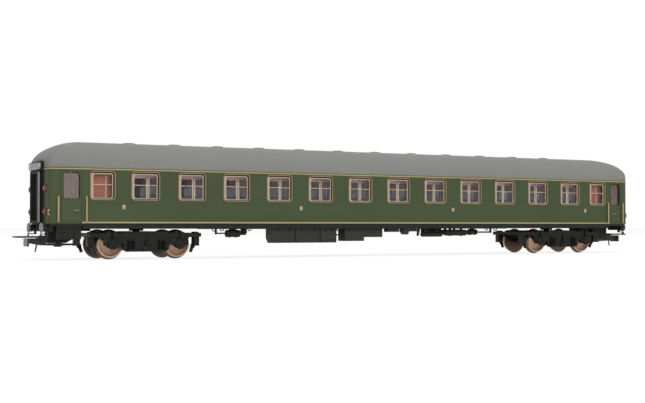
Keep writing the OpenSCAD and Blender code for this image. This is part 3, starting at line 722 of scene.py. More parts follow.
blind_plastic = Finish("blind_plastic", "interior_plastic")
pleat_share = blind_plastic.noise(0.5, 3.0, (3, 3, 0.1))
blind_plastic.surface(
    Base_Color=blind_plastic.blend(pleat_share, srgb(59, 37, 31), srgb(106, 72, 65)),
    Roughness=0.6 + pleat_share * 0.1,
    Normal=blind_plastic.relief(blind_plastic.noise(4.0), 0.01))
BLIND_W = 7.4
BLIND_H = 11.4
BLIND_Y = 1.55
BLIND_T = 0.3
PLEATS = 7
PLEAT_STEPS = 8 * PLEATS
blind_work = bmesh.new()
front = [(BLIND_W * (k / PLEAT_STEPS - 0.5), BLIND_Y - 0.16 * math.cos(math.tau * k / 8))
         for k in range(PLEAT_STEPS + 1)]
section = front + [(x, y + BLIND_T) for x, y in reversed(front)]
solid(blind_work, [[(x, y, z) for x, y in section] for z in (-BLIND_H / 2, BLIND_H / 2)])
laid_out("door_blinds", blind_work, door_places, blind_plastic, crease=60.0)

# ---------------------------------------------------------------- door furniture
# Each entrance door has a slim lever handle on a small rose, and three hinge barrels moulded
# at its outer edge.


def bent(corners, radius, steps=5):
    """A path through some corners, with the inner ones bent to a radius."""
    corners = [Vector(c) for c in corners]
    path = [corners[0]]
    for before, corner, after in zip(corners, corners[1:], corners[2:]):
        start = corner + (before - corner).normalized() * radius
        end = corner + (after - corner).normalized() * radius
        for k in range(steps + 1):
            t = k / steps
            path.append(start * (1 - t) ** 2 + corner * 2 * t * (1 - t) + end * t ** 2)
    return path + [corners[-1]]


def turned(work, profile, place, steps=48, loop=False):
    """Adds a turned shape: (radius, height) pairs up the axis that place gives it."""
    rings = []
    for radius, height in profile:
        angles = [math.tau * k / steps for k in range(steps)] if radius else [0.0]
        rings.append([place @ Vector((radius * math.cos(a), radius * math.sin(a), height))
                      for a in angles])
    skin(work, rings, loop=loop)


def axis_to(direction, place):
    """Stands a turned shape's axis along a direction, with its foot at a place."""
    return Matrix.Translation(place) @ Vector(direction).to_track_quat("Z", "Y").to_matrix().to_4x4()


bright_metal = mixed("bright_metal", "handrail_brass", (132, 132, 122), (158, 158, 148), [(1, 1.5)],
                     (0.3, 3.0, 0.15), (8.0, 0.003), Metallic=0.55)

HANDLE_X = 138.4
HANDLE_Z = 19.6
HANDLE_R = 0.17
HINGE_X = 145.0
HINGE_ZS = (18.2, 24.9, 31.6)
HINGE_BARREL = [(0, -0.7), (0.2, -0.7), (0.26, -0.62), (0.26, -0.06), (0.22, 0), (0.26, 0.06),
                (0.26, 0.62), (0.2, 0.7), (0, 0.7)]
ROSE_PROFILE = [(0, 0), (0.36, 0), (0.36, 0.16), (0.3, 0.22), (0, 0.22)]
levers = []
rose_work = bmesh.new()
hinge_work = bmesh.new()
for end, side in quarters:
    out = Vector((0, side, 0))
    root = Vector((end * HANDLE_X, side * (half_width(HANDLE_X) - 0.1), HANDLE_Z))
    elbow = root + out * 0.85
    levers.append(bent([root, elbow, elbow + Vector((end * 2.1, 0, 0.1))], 0.3))
    turned(rose_work, ROSE_PROFILE, axis_to(out, root), 20)
    for z in HINGE_ZS:
        foot = Vector((end * HINGE_X, side * (half_width(HINGE_X) - 0.02), z))
        turned(hinge_work, HINGE_BARREL, axis_to((0, 0, 1), foot), 16)
wires("door_handles", levers, HANDLE_R, bright_metal)
settle("door_handle_roses", rose_work, bright_metal)
settle("door_hinges", hinge_work, green_paint)

# ---------------------------------------------------------------- grab rails
# Brass wire with both ends bent in and pressed into the body: one on each side of every
# entrance door, and a short one near each corner of the end walls.

rail_brass = mixed("rail_brass", "handrail_brass", (166, 140, 90), (196, 174, 128), [(1, 0.9, 3.0)],
                   (0.32, 3.0, 0.14), (8.0, 0.003), Metallic=0.35)

RAIL_R = 0.38
RAIL_OUT = 0.62
RAIL_FOOT = 0.4
RAIL_XS = (135.2, 146.1)
rails_low, rails_high = box("handrails")
rail_zs = (rails_low.z + RAIL_FOOT, rails_high.z - RAIL_FOOT)
END_RAIL_R = 0.26
END_RAIL_Y = 14.1
END_RAIL_OUT = -0.08
END_RAIL_ZS = (17.9, 19.9)


def hoop(foot, outer, heights, bend):
    """A rail's path out from its foot (x, y), up, and in again."""
    low, high = heights
    return bent([(*foot, low), (*outer, low), (*outer, high), (*foot, high)], bend)


rail_paths, end_rail_paths = [], []
for end, side in quarters:
    for x in RAIL_XS:
        rail_paths.append(hoop((end * x, side * (half_width(x) - 0.3)),
                               (end * x, side * (half_width(x) + RAIL_OUT)), rail_zs, 0.45))
    y = side * END_RAIL_Y
    end_rail_paths.append(hoop((end * (half_l - 0.6), y), (end * (half_l + END_RAIL_OUT), y),
                               END_RAIL_ZS, 0.3))
wires("door_grab_rails", rail_paths, RAIL_R, rail_brass, "handrails")
wires("end_grab_rails", end_rail_paths, END_RAIL_R, rail_brass)

# ---------------------------------------------------------------- tail lamps
# Red-brown lamps in two pairs on each end wall: a moulded ring with a domed lens in it.

lamp_red = mixed("lamp_red", "lamp_red", (94, 40, 30), (118, 60, 46), [(1, 1.2)], (0.26, 2.0, 0.1),
                 (6.0, 0.002), Coat_Weight=0.3)

LAMP_Y = 11.3
LAMP_ZS = (19.2, 28.3)
LAMP_PROFILE = [(0, -0.1), (1.3, -0.1), (1.3, 0.7), (1.22, 0.79), (1.08, 0.8), (1.03, 0.72),
                (1.0, 0.82), (0.86, 1.04), (0.6, 1.2), (0.3, 1.28), (0, 1.3)]
lamp_work = bmesh.new()
for end, side in quarters:
    for z in LAMP_ZS:
        turned(lamp_work, LAMP_PROFILE, axis_to((end, 0, 0), (end * half_l, side * LAMP_Y, z)), 40)
settle("tail_lamp_set", lamp_work, lamp_red, "tail_lamps")

# ---------------------------------------------------------------- gangways
# A black frame on each end wall carries a folded rubber bellows, closed by a face plate.
# Over them is a rubber hood, with a pale sheet-metal shield hung on its front.

FOLD = 0.3
FRAME_X = 150.3
PLATE_X0 = 151.0
FACE_X = 151.8
FACE_W = 12.6
BELLOWS_W = 11.8
SILL_HALF = 4.5
DOORWAY = (9.2, 18.9)
gangway_low, gangway_high = box("gangway_rear")
gangway_w = gangway_high.y - gangway_low.y
gangway_h = gangway_high.z - gangway_low.z
gangway_z = (gangway_low.z + gangway_high.z) / 2


def passage(work, end, outline):
    """A ring round the passage: (x, width, height less) outside, then the opening's edges."""
    rings = [[(end * x, y, gangway_z + z) for y, z in rounded(width, gangway_h - cut, radius)]
             for x, width, cut, radius in outline]
    for x, grow in ((outline[-1][0], 0.12), (outline[-1][0] - 0.1, 0.0), (outline[0][0], 0.0)):
        rings.append([(end * x, y, gangway_z - 0.1 + z)
                      for y, z in rounded(DOORWAY[0] + grow, DOORWAY[1] + grow, 0.3)])
    skin(work, rings, loop=True)


fold_middle = (FRAME_X + PLATE_X0) / 2
for label, end in (("front", -1), ("rear", 1)):
    bellows_work = bmesh.new()
    passage(bellows_work, end, [(half_l, gangway_w, 0.0, 0.3), (FRAME_X - 0.1, gangway_w, 0.0, 0.3),
                                (FRAME_X, gangway_w - 0.2, 0.2, 0.3)])
    passage(bellows_work, end, [(FRAME_X, BELLOWS_W, 0.6, 0.6),
                                (fold_middle, BELLOWS_W - 2 * FOLD, 0.6 + 2 * FOLD, 0.6),
                                (PLATE_X0, BELLOWS_W, 0.6, 0.6)])
    settle(f"bellows_{label}", bellows_work, black_rubber, f"gangway_{label}", crease=40.0)

    plate_work = bmesh.new()
    passage(plate_work, end, [(PLATE_X0, FACE_W - 0.2, 0.2, 0.4), (PLATE_X0 + 0.08, FACE_W, 0.0, 0.4),
                              (FACE_X - 0.1, FACE_W, 0.0, 0.4), (FACE_X, FACE_W - 0.2, 0.2, 0.4)])
    slab(plate_work, (end * PLATE_X0, -SILL_HALF, gangway_low.z + 0.1),
         (end * FACE_X, SILL_HALF, gangway_low.z + 1.2), 0.12)
    settle(f"gangway_plate_{label}", plate_work, black_rubber, crease=40.0)

SHIELD_Z = 37.4
mauve_paint = Finish("mauve_paint", "canopy_paint")
mauve_share = mauve_paint.noise(0.42, 4.0)
shield_top = mauve_paint.ramp(mauve_paint.along("Z"), SHIELD_Z + 0.95, SHIELD_Z + 1.1)
mauve_paint.surface(
    Base_Color=mauve_paint.blend(
        shield_top,
        mauve_paint.blend(mauve_paint.ramp(mauve_share, 0.35, 0.65), srgb(138, 135, 142),
                          srgb(204, 202, 206)),
        srgb(66, 65, 68)),
    Roughness=0.5 + mauve_share * 0.15,
    Normal=mauve_paint.relief(mauve_paint.noise(4.0, 3.0), 0.006))

strip_grey = mixed("strip_grey", "canopy_paint", (146, 146, 146), (174, 174, 174), [(1, 0.6, 3.0)],
                   (0.5, 1.0, 0.12), (4.0, 3.0, 0.004))
strip_work = bmesh.new()
for end, side in quarters:
    slab(strip_work, (end * (PLATE_X0 + 0.02), side * (FACE_W / 2 - 0.1), gangway_low.z + 0.4),
         (end * (FACE_X - 0.02), side * (FACE_W / 2 + 0.04), gangway_high.z - 0.4), 0.05)
settle("gangway_strips", strip_work, strip_grey)

HOOD_X = 151.2
HOOD_R = 1.2
SHIELD_H = 3.0
SHIELD_R = 0.8
canopy_high = box("gangway_canopies")[1]
hood_h = canopy_high.z - gangway_high.z
hood_work = bmesh.new()
shield_work = bmesh.new()
for end in (-1, 1):
    hood_rings = []
    for x, cut in ((half_l, 0.0), (HOOD_X - 0.15, 0.0), (HOOD_X, 0.3)):
        foot_y = gangway_w / 2 - cut / 2
        arch = [(y, z) for y, z in rounded(gangway_w - cut, 2 * hood_h - cut, HOOD_R) if z > -0.01]
        hood_rings.append([(end * x, y, gangway_high.z + z)
                           for y, z in [(foot_y, 0.0), *arch, (-foot_y, 0.0)]])
    solid(hood_work, hood_rings)
    solid(shield_work, [[(end * x, y, SHIELD_Z + z)
                         for y, z in rounded(2 * canopy_high.y - cut, SHIELD_H - cut, SHIELD_R)]
                        for x, cut in ((HOOD_X - 0.05, 0.1), (HOOD_X + 0.05, 0.0),
                                       (canopy_high.x - 0.12, 0.0), (canopy_high.x, 0.24))])
settle("gangway_hoods", hood_work, black_rubber, "gangway_canopies", crease=40.0)
settle("gangway_shields", shield_work, mauve_paint, crease=40.0)

moulded("end_doors", 0.06, green_paint, "gangway_doors")
dark_pane = mixed("dark_pane", "window_glass", (46, 47, 46), (62, 62, 60), [(1, 0.3)],
                  (0.12, 0.6, 0.05), (0.5, 0.01))
END_PANE = (4.6, 7.4)
END_PANE_Z = 29.5
END_HANDLE = (-3.2, 24.0)
END_HANDLE_R = 0.18
door_x = box("gangway_doors")[1].x
end_pane_work = bmesh.new()
end_levers = []
for end in (-1, 1):
    solid(end_pane_work, [[(end * (door_x + x), y, END_PANE_Z + z)
                           for y, z in rounded(END_PANE[0] - cut, END_PANE[1] - cut, 0.5)]
                          for x, cut in ((-0.25, 0.0), (-0.1, 0.0), (-0.06, 0.1))])
    root = Vector((end * (door_x - 0.1), *END_HANDLE))
    end_levers.append(bent([root, root + Vector((end * 0.6, 0, 0)),
                            root + Vector((end * 0.6, 1.6, 0))], 0.25))
settle("end_door_panes", end_pane_work, dark_pane)
wires("end_door_handles", end_levers, END_HANDLE_R, bright_metal)

# ---------------------------------------------------------------- chassis
# One black moulding: floor plate, sole bars, centre rails, buffer beams and pivot bosses.
# Rows of small rivet heads stand on the sole bars and the beams.

black_frame = mixed("black_frame", "underframe_plastic", (29, 30, 23), (44, 44, 36),
                    [(0.5, 0.15, 3.0), (0.5, 2.0, 3.0)], (0.5, 1.2, 0.18), (5.0, 4.0, 0.006),
                    Specular_IOR_Level=0.2)

moulded("chassis_moulding", 0.1, black_frame, "chassis")


def rivet(radius):
    """A domed rivet head on a wall that faces -Y."""
    work = bmesh.new()
    turned(work, [(0, -0.1), (radius, -0.1), (radius, 0.04), (radius * 0.72, radius * 0.5),
                  (0, radius * 0.62)], axis_to((0, -1, 0), (0, 0, 0)), 10)
    return work


def beside(spots, y, shift=0.0):
    """Places for (x, z) spots on both sides, those on the right moved along by a shift."""
    return [(x + (shift if side > 0 else 0), side * y, z, TURN[side])
            for side in (-1, 1) for x, z in spots]


SOLE_Y = 15.9
SOLE_RIVET_Z = 12.95
RIVET_PITCH = 4.2
BEAM_X = 149.0
BEAM_RIVET_YS = (-12.2, -7.4, -5.2, 5.2, 7.4, 12.2)
sole_rivets = beside([(k * RIVET_PITCH, SOLE_RIVET_Z) for k in range(-32, 33)], SOLE_Y)
beam_rivets = [(end * BEAM_X, y, z, end * 90)
               for end in (-1, 1) for y in BEAM_RIVET_YS for z in (12.0, 13.0)]
laid_out("frame_rivets", rivet(0.24), sole_rivets + beam_rivets, black_frame, crease=50.0)

# ---------------------------------------------------------------- coupler brackets and steps
# Moulded brackets carry the couplers. Under one entrance at each end is a closed step box
# with two recessed treads, and a bent flat bar under each buffer is the shunter's step.

for name, radius, node in (("bracket_mouldings", 0.12, "coupler_brackets"),
                           ("door_step_mouldings", 0.08, "door_steps"),
                           ("shunter_step_mouldings", 0.08, "shunter_steps")):
    moulded(name, radius, black_frame, node)

TREADS = ((137.6, 145.6, 11.9, 14.6), (139.4, 145.6, 9.0, 14.5))
TREAD_PITCH = 0.8
tread_work = bmesh.new()
slab(tread_work, (-0.12, -0.32, -0.02), (0.12, 0.02, 0.12), 0.05)
tread_places = [(end * (x0 + TREAD_PITCH * (k + 0.5)), end * y, z, TURN[end])
                for x0, x1, z, y in TREADS for end in (-1, 1)
                for k in range(int((x1 - x0) / TREAD_PITCH))]
laid_out("step_treads", tread_work, tread_places, black_frame)

# ---------------------------------------------------------------- buffers
# Turned-looking mouldings: a flanged base on the beam, a stepped sleeve, a stem, and a
# round head whose bare face is paler than the rest.

buffer_plastic = Finish("buffer_plastic", "buffer_steel")
buffer_face = buffer_plastic.ramp(abs(buffer_plastic.along("X")), 150.85, 150.95)
buffer_plastic.coat(
    buffer_plastic.blend(buffer_face, srgb(46, 46, 44),
                         buffer_plastic.tones((126, 126, 124), (156, 156, 154), (1, 0.9, 3.0))),
    (0.42, 1.5, 0.16), (5.0, 3.0, 0.004), Specular_IOR_Level=0.3)

BUFFER_Y = 9.8
BUFFER_Z = 12.8
BUFFER_R = 2.0
buffer_l = box("buffers")[1].x - BEAM_X
BUFFER_PROFILE = [(0, 0), (1.3, 0), (1.3, 0.84), (1.55, 0.86), (1.6, 0.92), (1.6, 1.12),
                  (1.4, 1.3), (1.4, 1.56), (1.34, 1.6), (0.95, 1.62), (0.92, 1.88),
                  (BUFFER_R - 0.22, 1.9), (BUFFER_R, 2.05), (BUFFER_R, buffer_l - 0.24),
                  (BUFFER_R - 0.06, buffer_l - 0.12), (BUFFER_R - 0.2, buffer_l - 0.03),
                  (BUFFER_R - 0.34, buffer_l), (0, buffer_l)]
buffer_work = bmesh.new()
for end, side in quarters:
    turned(buffer_work, BUFFER_PROFILE,
           axis_to((end, 0, 0), (end * BEAM_X, side * BUFFER_Y, BUFFER_Z)), 56)
settle("buffer_set", buffer_work, buffer_plastic, "buffers")

# ---------------------------------------------------------------- underfloor gear
# Battery and equipment boxes, air tanks, brake cylinder, dynamo and rods are black mouldings
# under the floor, with latches, straps and bolts. The right battery box is nearer the rear.

# The boxes share the underframe plastic but are painted paler than the frame: painted light for the
# light that falls on them.
box_black_lit = mixed("box_black_lit", "underframe_plastic", (42, 43, 40), (58, 58, 54),
                  [(0.5, 0.2, 3.0), (0.5, 1.6, 3.0)], (0.46, 1.2, 0.18), (5.0, 4.0, 0.006),
                  Specular_IOR_Level=0.3)
for name, radius, finish, node in (
        ("battery_box_mouldings", 0.12, box_black_lit, "battery_boxes"),
        ("equipment_box_mouldings", 0.12, box_black_lit, "equipment_boxes"),
        ("air_tanks", 0.1, black_frame, "air_reservoirs"),
        ("brake_cylinder_moulding", 0.1, black_frame, "brake_cylinder"),
        ("dynamo_moulding", 0.1, black_frame, "dynamo"),
        ("brake_rodding", 0.06, black_frame, "brake_rods")):
    moulded(name, radius, finish, node)

BATTERY_SHIFT = 12.4
BATTERY_DOORS = (-50.2, -44.2, -38.4, -32.3, -26.4, -23.4)
BATTERY_LATCH_Z = 11.9
BOLT_LOW_Z = 7.4
BOLT_HIGH_Z = 12.6
BATTERY_BOLT_XS = (-52.3, -42.2, -40.7, -30.0, -28.6, -21.8)
battery_y = box("battery_boxes")[1].y
latch_work = bmesh.new()
slab(latch_work, (-0.45, -0.22, -0.55), (0.45, 0.05, 0.55), 0.08)
slab(latch_work, (-0.16, -0.34, -0.3), (0.16, -0.2, 0.3), 0.05)
latches = beside([(x, BATTERY_LATCH_Z) for x in BATTERY_DOORS], battery_y, BATTERY_SHIFT)
latches += [(-14.6, -13.6, 12.2, 0), (-8.6, -13.6, 12.2, 0), (8.7, -14.0, 12.6, 0)]
laid_out("box_latches", latch_work, latches, black_frame)

box_bolts = beside([(x, z) for x in BATTERY_BOLT_XS for z in (BOLT_LOW_Z, BOLT_HIGH_Z)],
                   battery_y, BATTERY_SHIFT)
box_bolts += [(x, -13.6, z, 0) for x in (-16.1, -7.1) for z in (7.4, 12.9)]
box_bolts += [(x, -13.2, z, 0) for x in (-5.9, 2.6) for z in (9.2, 12.9)]
laid_out("box_bolts", rivet(0.3), box_bolts, black_frame, crease=50.0)

# Each row is a tank's two ends in X, its middle in Y and Z, and its radius.
TANKS = ((37.9, 50.5, -12.2, 10.4, 1.45), (52.0, 63.0, 11.6, 10.4, 1.3),
         (51.9, 56.5, -12.0, 10.65, 1.25), (-73.4, -67.3, -11.8, 10.35, 1.55))
STRAP_R = 0.2
straps = []
for x0, x1, y, z, radius in TANKS:
    for x in (x0 + (x1 - x0) / 4, x1 - (x1 - x0) / 4):
        straps.append([(x, y + (radius + 0.05) * math.cos(a), z + (radius + 0.05) * math.sin(a))
                       for a in (math.tau * k / 32 for k in range(32))])
wires("tank_straps", straps, STRAP_R, black_frame, closed=True)

RING_R = 0.8
RING_WIRE_R = 0.22
RING_Y = 14.2
RING_Z = 12.2
RING_TOP_Z = 13.45
RING_XS = (-79.9, -66.4, -20.3, 66.0)
RING_SHIFT = 16.0
pipe_paths = []
for spot in beside([(x, RING_Z) for x in RING_XS], RING_Y, RING_SHIFT):
    x, y = spot[:2]
    bow = [(x + RING_R * math.sin(a), y, RING_Z - RING_R * math.cos(a))
           for a in (math.radians(-150 + 300 * k / 24) for k in range(25))]
    pipe_paths.append([(x - 0.4, y, RING_TOP_Z), *bow, (x + 0.4, y, RING_TOP_Z)])
wires("steam_pipe_loops", pipe_paths, RING_WIRE_R, black_frame, "steam_pipe_rings")

# ---------------------------------------------------------------- inside
# A brown moulding makes the floor, the corridor wall and the compartment walls; seats are
# blue-grey mouldings with pale head rests printed on. Washrooms have orange walls. The brown,
# the seats, the head rests and the wall posts are painted paler than their plastic: painted
# light for the light inside the coach.

# Painted paler than the plastic: painted light that stands for the light inside the coach.
brown_plastic_lit = mixed("brown_plastic_lit", "interior_plastic", (206, 156, 148), (232, 186, 176),
                      [(1, 0.2, 3.0)], (0.5, 1.0, 0.15), (4.0, 0.004))
moulded("corridor_walls", 0.08, brown_plastic_lit, "partitions")
repaint("interior_floor", brown_plastic_lit)

# Painted paler than the plastic: painted light that stands for the light inside the coach.
seat_blue = mixed("seat_blue", "seat_plastic", (150, 152, 182), (186, 188, 212), [(1, 0.6, 4.0)],
                  (0.6, 1.0, 0.2), (5.0, 3.0, 0.01))
moulded("seat_benches", 0.35, seat_blue, "seats")

# The print is painted paler than it is: painted light that stands for the light inside the coach.
head_print_lit = mixed("head_print_lit", "seat_plastic", (216, 216, 218), (240, 240, 240), [(1, 1.2, 3.0)],
                   (0.75, 2.0, 0.1), (6.0, 0.006))
REST_YS = (-5.4, -0.4, 4.6, 9.6)
REST_Z = 30.0
BACK_OFF = 2.3
rest_work = bmesh.new()
slab(rest_work, (-0.25, -2.1, -3.6), (0.14, 2.1, 0.12), 0.12)
rest_places = [(x + end * (bay_pitch / 2 - BACK_OFF), y, REST_Z, 180 - TURN[end])
               for x in bay_xs for end in (-1, 1) for y in REST_YS]
laid_out("head_prints", rest_work, rest_places, head_print_lit)

orange_panel = mixed("orange_panel", "washroom_plastic", (147, 72, 36), (168, 89, 48),
                     [(1, 0.25, 3.0)], (0.5, 1.0, 0.15), (4.0, 0.004))
moulded("washroom_walls", 0.1, orange_panel, "washroom_panels")
WASH_END_XS = (133.7, 137.2)
WASH_END_Y = 11.7
wash_low, wash_high = box("washroom_panels")
wash_work = bmesh.new()
for end, side in quarters:
    slab(wash_work, (end * WASH_END_XS[0], side * WASH_END_Y, wash_low.z),
         (end * WASH_END_XS[1], side * wash_high.y, wash_high.z))
settle("washroom_wall_ends", wash_work, orange_panel)

# Painted paler than the plastic: painted light that stands for the light inside the coach.
beige_post_lit = mixed("beige_post_lit", "interior_plastic", (210, 184, 168), (228, 204, 190), [(1, 0.4, 3.0)],
                   (0.4, 1.0, 0.1), (5.0, 0.003))
POST_X = 2.8
POST_Y = 10.55
POST_ZS = (16.7, 34.5)
POST_STRIPS = ((-0.72, -0.12), (0.12, 0.72))
JOINT_HALF = 0.16
WASH_POST_X = 2.35
WASH_POST_Y = 12.5
WASH_POST_TOP = 35.4
post_work = bmesh.new()
joint_work = bmesh.new()
for x in bay_xs:
    for low_x, high_x in POST_STRIPS:
        slab(post_work, (x + POST_X + low_x, -POST_Y - 0.4, POST_ZS[0]),
             (x + POST_X + high_x, -POST_Y, POST_ZS[1]), 0.1)
    slab(joint_work, (x + POST_X - JOINT_HALF, -POST_Y - 0.12, POST_ZS[0]),
         (x + POST_X + JOINT_HALF, -POST_Y, POST_ZS[1]), 0.04)
for end, side in quarters:
    x = end * wash_x + WASH_POST_X
    y = side * WASH_POST_Y
    slab(post_work, (x - 0.18, y - 0.2, POST_ZS[0]), (x + 0.18, y + 0.2, WASH_POST_TOP), 0.06)
settle("wall_posts", post_work, beige_post_lit)
settle("wall_joints", joint_work, black_rubber, slot="interior_plastic")

ballast_steel = Finish("ballast_steel")
brushed = ballast_steel.noise(0.4, 4.0, (0.05, 6, 1))
ballast_steel.surface(
    Base_Color=ballast_steel.blend(brushed, srgb(120, 120, 122), srgb(150, 150, 152)),
    Metallic=0.9, Roughness=0.3 + brushed * 0.2,
    Normal=ballast_steel.relief(brushed, 0.004))
repaint("ballast_plate", ballast_steel)

# ---------------------------------------------------------------- bogie frames
# Each bogie is one black moulding: two side frames, a bolster across them with the pivot
# hole, and headstocks. Axleboxes with wings, coil springs and bolts stand on the side frames.

black_bogie = mixed("black_bogie", "bogie_plastic", (10, 10, 9), (24, 24, 22),
                    [(0.5, 0.3, 3.0), (0.5, 2.5, 3.0)], (0.34, 1.2, 0.2), (5.0, 4.0, 0.006),
                    Specular_IOR_Level=0.22)

wheel_x = {}
for k in (1, 2, 3, 4):
    low, high = box(f"wheels_{k}")
    wheel_x[k] = (low.x + high.x) / 2
pivots = {"front": (wheel_x[1] + wheel_x[2]) / 2, "rear": (wheel_x[3] + wheel_x[4]) / 2}
axle_offset = (wheel_x[2] - wheel_x[1]) / 2
SIDE_Y = 12.9
COVER_Z = 6.3
COVER_PROFILE = [(0, 0), (2.3, 0), (2.3, 0.7), (2.2, 0.8), (1.98, 0.82), (1.9, 0.9), (1.9, 1.1),
                 (1.8, 1.2), (1.3, 1.22), (1.2, 1.1), (0.7, 1.1), (0.6, 1.2), (0, 1.2)]
BOLT_PROFILE = [(0, 0.7), (0.22, 0.7), (0.22, 0.94), (0.12, 1.0), (0, 1.0)]
DAMPER_PROFILE = [(0, 0), (1.0, 0), (1.0, 0.85), (0.9, 1.0), (0.4, 1.0), (0.35, 0.9), (0, 0.9)]
BOLT_CIRCLE = 2.08
WING_HALF = 3.8
WING_ZS = (5.6, 8.4)
COIL_ZS = (4.0, 7.6)
COIL_X = 6.6
SPRING_H = 3.1
BOGIE_BOLTS = ((-22.6, 10.1), (-20.4, 10.1), (22.6, 10.1), (20.4, 10.1), (-3.4, 9.9), (3.4, 9.9),
               (-9.2, 9.0), (9.2, 9.0), (-4.0, 3.9), (4.0, 3.9))


def coil(middle, wire, height, turns, steps):
    """The profile of a close coil spring, its turns drawn as rings."""
    count = round(turns * steps)
    rings = [(middle + wire * math.cos(math.tau * (k / steps - 0.5)), height * k / count)
             for k in range(count + 1)]
    return [(0, 0), *rings, (0, height)]


def on_side(work, side, x_span, y_span, z_span, radius):
    """Adds a block to a side frame, its Y measured outwards from the frame's face."""
    slab(work, (x_span[0], side * (SIDE_Y + y_span[0]), z_span[0]),
         (x_span[1], side * (SIDE_Y + y_span[1]), z_span[1]), radius)


for label, pivot_x in pivots.items():
    body = f"bogie_{label}"
    moulded(f"bogie_moulding_{label}", 0.12, black_bogie, f"bogie_frame_{label}", body=body)

    coil_work = bmesh.new()
    turned(coil_work, coil(0.66, 0.16, COIL_ZS[1] - COIL_ZS[0], 5, 8), Matrix.Identity(4), 24)
    coil_places = [(pivot_x + k * COIL_X + shift, side * (SIDE_Y + 0.1), COIL_ZS[0], 0)
                   for k in (-1, 1) for shift in (-0.9, 0.9) for side in (-1, 1)]
    laid_out(f"bolster_springs_{label}", coil_work, coil_places, black_bogie, body=body, crease=50.0)

    cover_work = bmesh.new()
    for side in (-1, 1):
        for k in (-1, 1):
            x = pivot_x + k * axle_offset
            turned(cover_work, COVER_PROFILE, axis_to((0, side, 0), (x, side * SIDE_Y, COVER_Z)), 40)
            for bolt in range(6):
                angle = math.tau * (bolt + 0.5) / 6
                bolt_x = x + BOLT_CIRCLE * math.cos(angle)
                bolt_z = COVER_Z + BOLT_CIRCLE * math.sin(angle)
                turned(cover_work, BOLT_PROFILE,
                       axis_to((0, side, 0), (bolt_x, side * SIDE_Y, bolt_z)), 6)
            on_side(cover_work, side, (x - WING_HALF, x + WING_HALF), (-0.35, 0.3), WING_ZS, 0.3)
            turned(cover_work, coil(0.46, 0.12, SPRING_H, 4, 8),
                   Matrix.Translation((x, side * (SIDE_Y + 0.12), COVER_Z + 2.1)), 16)
            for z_span in ((3.5, 4.05), (7.5, 8.0)):
                on_side(cover_work, side, (pivot_x + k * 5.0, pivot_x + k * 8.2), (-0.1, 0.95),
                        z_span, 0.1)
        turned(cover_work, DAMPER_PROFILE,
               axis_to((0, side, 0), (pivot_x + 0.2, side * SIDE_Y, 6.6)), 28)
        on_side(cover_work, side, (pivot_x - 1.6, pivot_x + 1.6), (-0.1, 0.5), (3.3, 5.3), 0.12)
        on_side(cover_work, side, (pivot_x - 0.35, pivot_x + 0.75), (-0.1, 0.5), (7.4, 9.6), 0.12)
    settle(f"axlebox_covers_{label}", cover_work, black_bogie,
           f"axleboxes_{label}", body=body, crease=40.0)

    laid_out(f"bogie_bolts_{label}", rivet(0.3),
             beside([(pivot_x + x, z) for x, z in BOGIE_BOLTS], SIDE_Y), black_bogie,
             body=body, crease=50.0)
    moulded(f"brake_hangers_{label}", 0.08, black_bogie, f"brake_gear_{label}", body=body)

# ---------------------------------------------------------------- wheels and axles
# Wheels are turned metal, browned like bronze, with rings from the lathe on the outer face.
# Treads and backs are the same bronze painted darker: painted shade for the shade they lie
# in. The steel axle has a bronze collar in its middle.

wheel_bronze = Finish("wheel_bronze", "wheel_bronze")
# Away from the outer face the bronze is painted darker, as painted shade.
unshaded_face = wheel_bronze.ramp(abs(wheel_bronze.along("Y")), 9.3, 9.36)
wheel_bronze.coat(
    wheel_bronze.blend(unshaded_face, srgb(100, 82, 68),
                       wheel_bronze.tones((150, 122, 101), (188, 158, 135), (1, 0.5, 3.0))),
    (0.24, 1.5, 0.14), (6.0, 3.0, 0.004), Metallic=0.75 + unshaded_face * 0.15)

axle_steel = Finish("axle_steel", "axle_steel")
collar = 1.0 - axle_steel.ramp(abs(axle_steel.along("Y")), 1.55, 1.6)
axle_steel.coat(axle_steel.blend(collar, srgb(66, 62, 58), srgb(206, 160, 118)),
                (0.3, 1.5, 2.0, (1, 0.1, 1), 0.15), (6.0, 0.003), Metallic=0.5 + collar * 0.2)

wheel_low, wheel_high = box("wheels_1")
FLANGE_R = (wheel_high.z - wheel_low.z) / 2
TREAD_R = 5.4
BACK_Y = 7.2
WHEEL_T = wheel_high.y - BACK_Y
AXLE_R = 1.0
RIM_R = 4.5
HUB_R = 2.2
DISC_STEPS = 5
wheel_profile = [(AXLE_R, 0), (4.9, 0), (5.0, 0.12), (FLANGE_R - 0.3, 0.12), (FLANGE_R - 0.06, 0.2),
                 (FLANGE_R, 0.38), (FLANGE_R - 0.05, 0.55), (FLANGE_R - 0.3, 0.82),
                 (TREAD_R + 0.12, 0.96), (TREAD_R + 0.06, 1.1), (TREAD_R, WHEEL_T - 0.14),
                 (TREAD_R - 0.14, WHEEL_T), (4.78, WHEEL_T), (4.68, WHEEL_T - 0.08),
                 (RIM_R, WHEEL_T - 0.66)]
for k in range(DISC_STEPS):
    cut = RIM_R + (HUB_R - RIM_R) * (k + 0.5) / DISC_STEPS
    deep = 0.66 - 0.5 * (k + 0.5) / DISC_STEPS
    wheel_profile += [(cut + 0.12, WHEEL_T - deep - 0.02), (cut, WHEEL_T - deep - 0.1),
                      (cut - 0.12, WHEEL_T - deep + 0.02)]
wheel_profile += [(HUB_R, WHEEL_T - 0.14), (2.05, WHEEL_T - 0.04), (1.95, WHEEL_T), (1.3, WHEEL_T),
                  (AXLE_R, WHEEL_T - 0.1)]
journal_y = box("axle_1")[1].y
half_axle = [(1.45, 0.2), (1.45, 1.2), (1.42, 1.35), (1.2, 1.5), (AXLE_R, 1.5), (AXLE_R, 10.4),
             (0.98, 10.55), (0.75, 10.6), (0.75, journal_y - 0.15), (0.6, journal_y), (0, journal_y)]
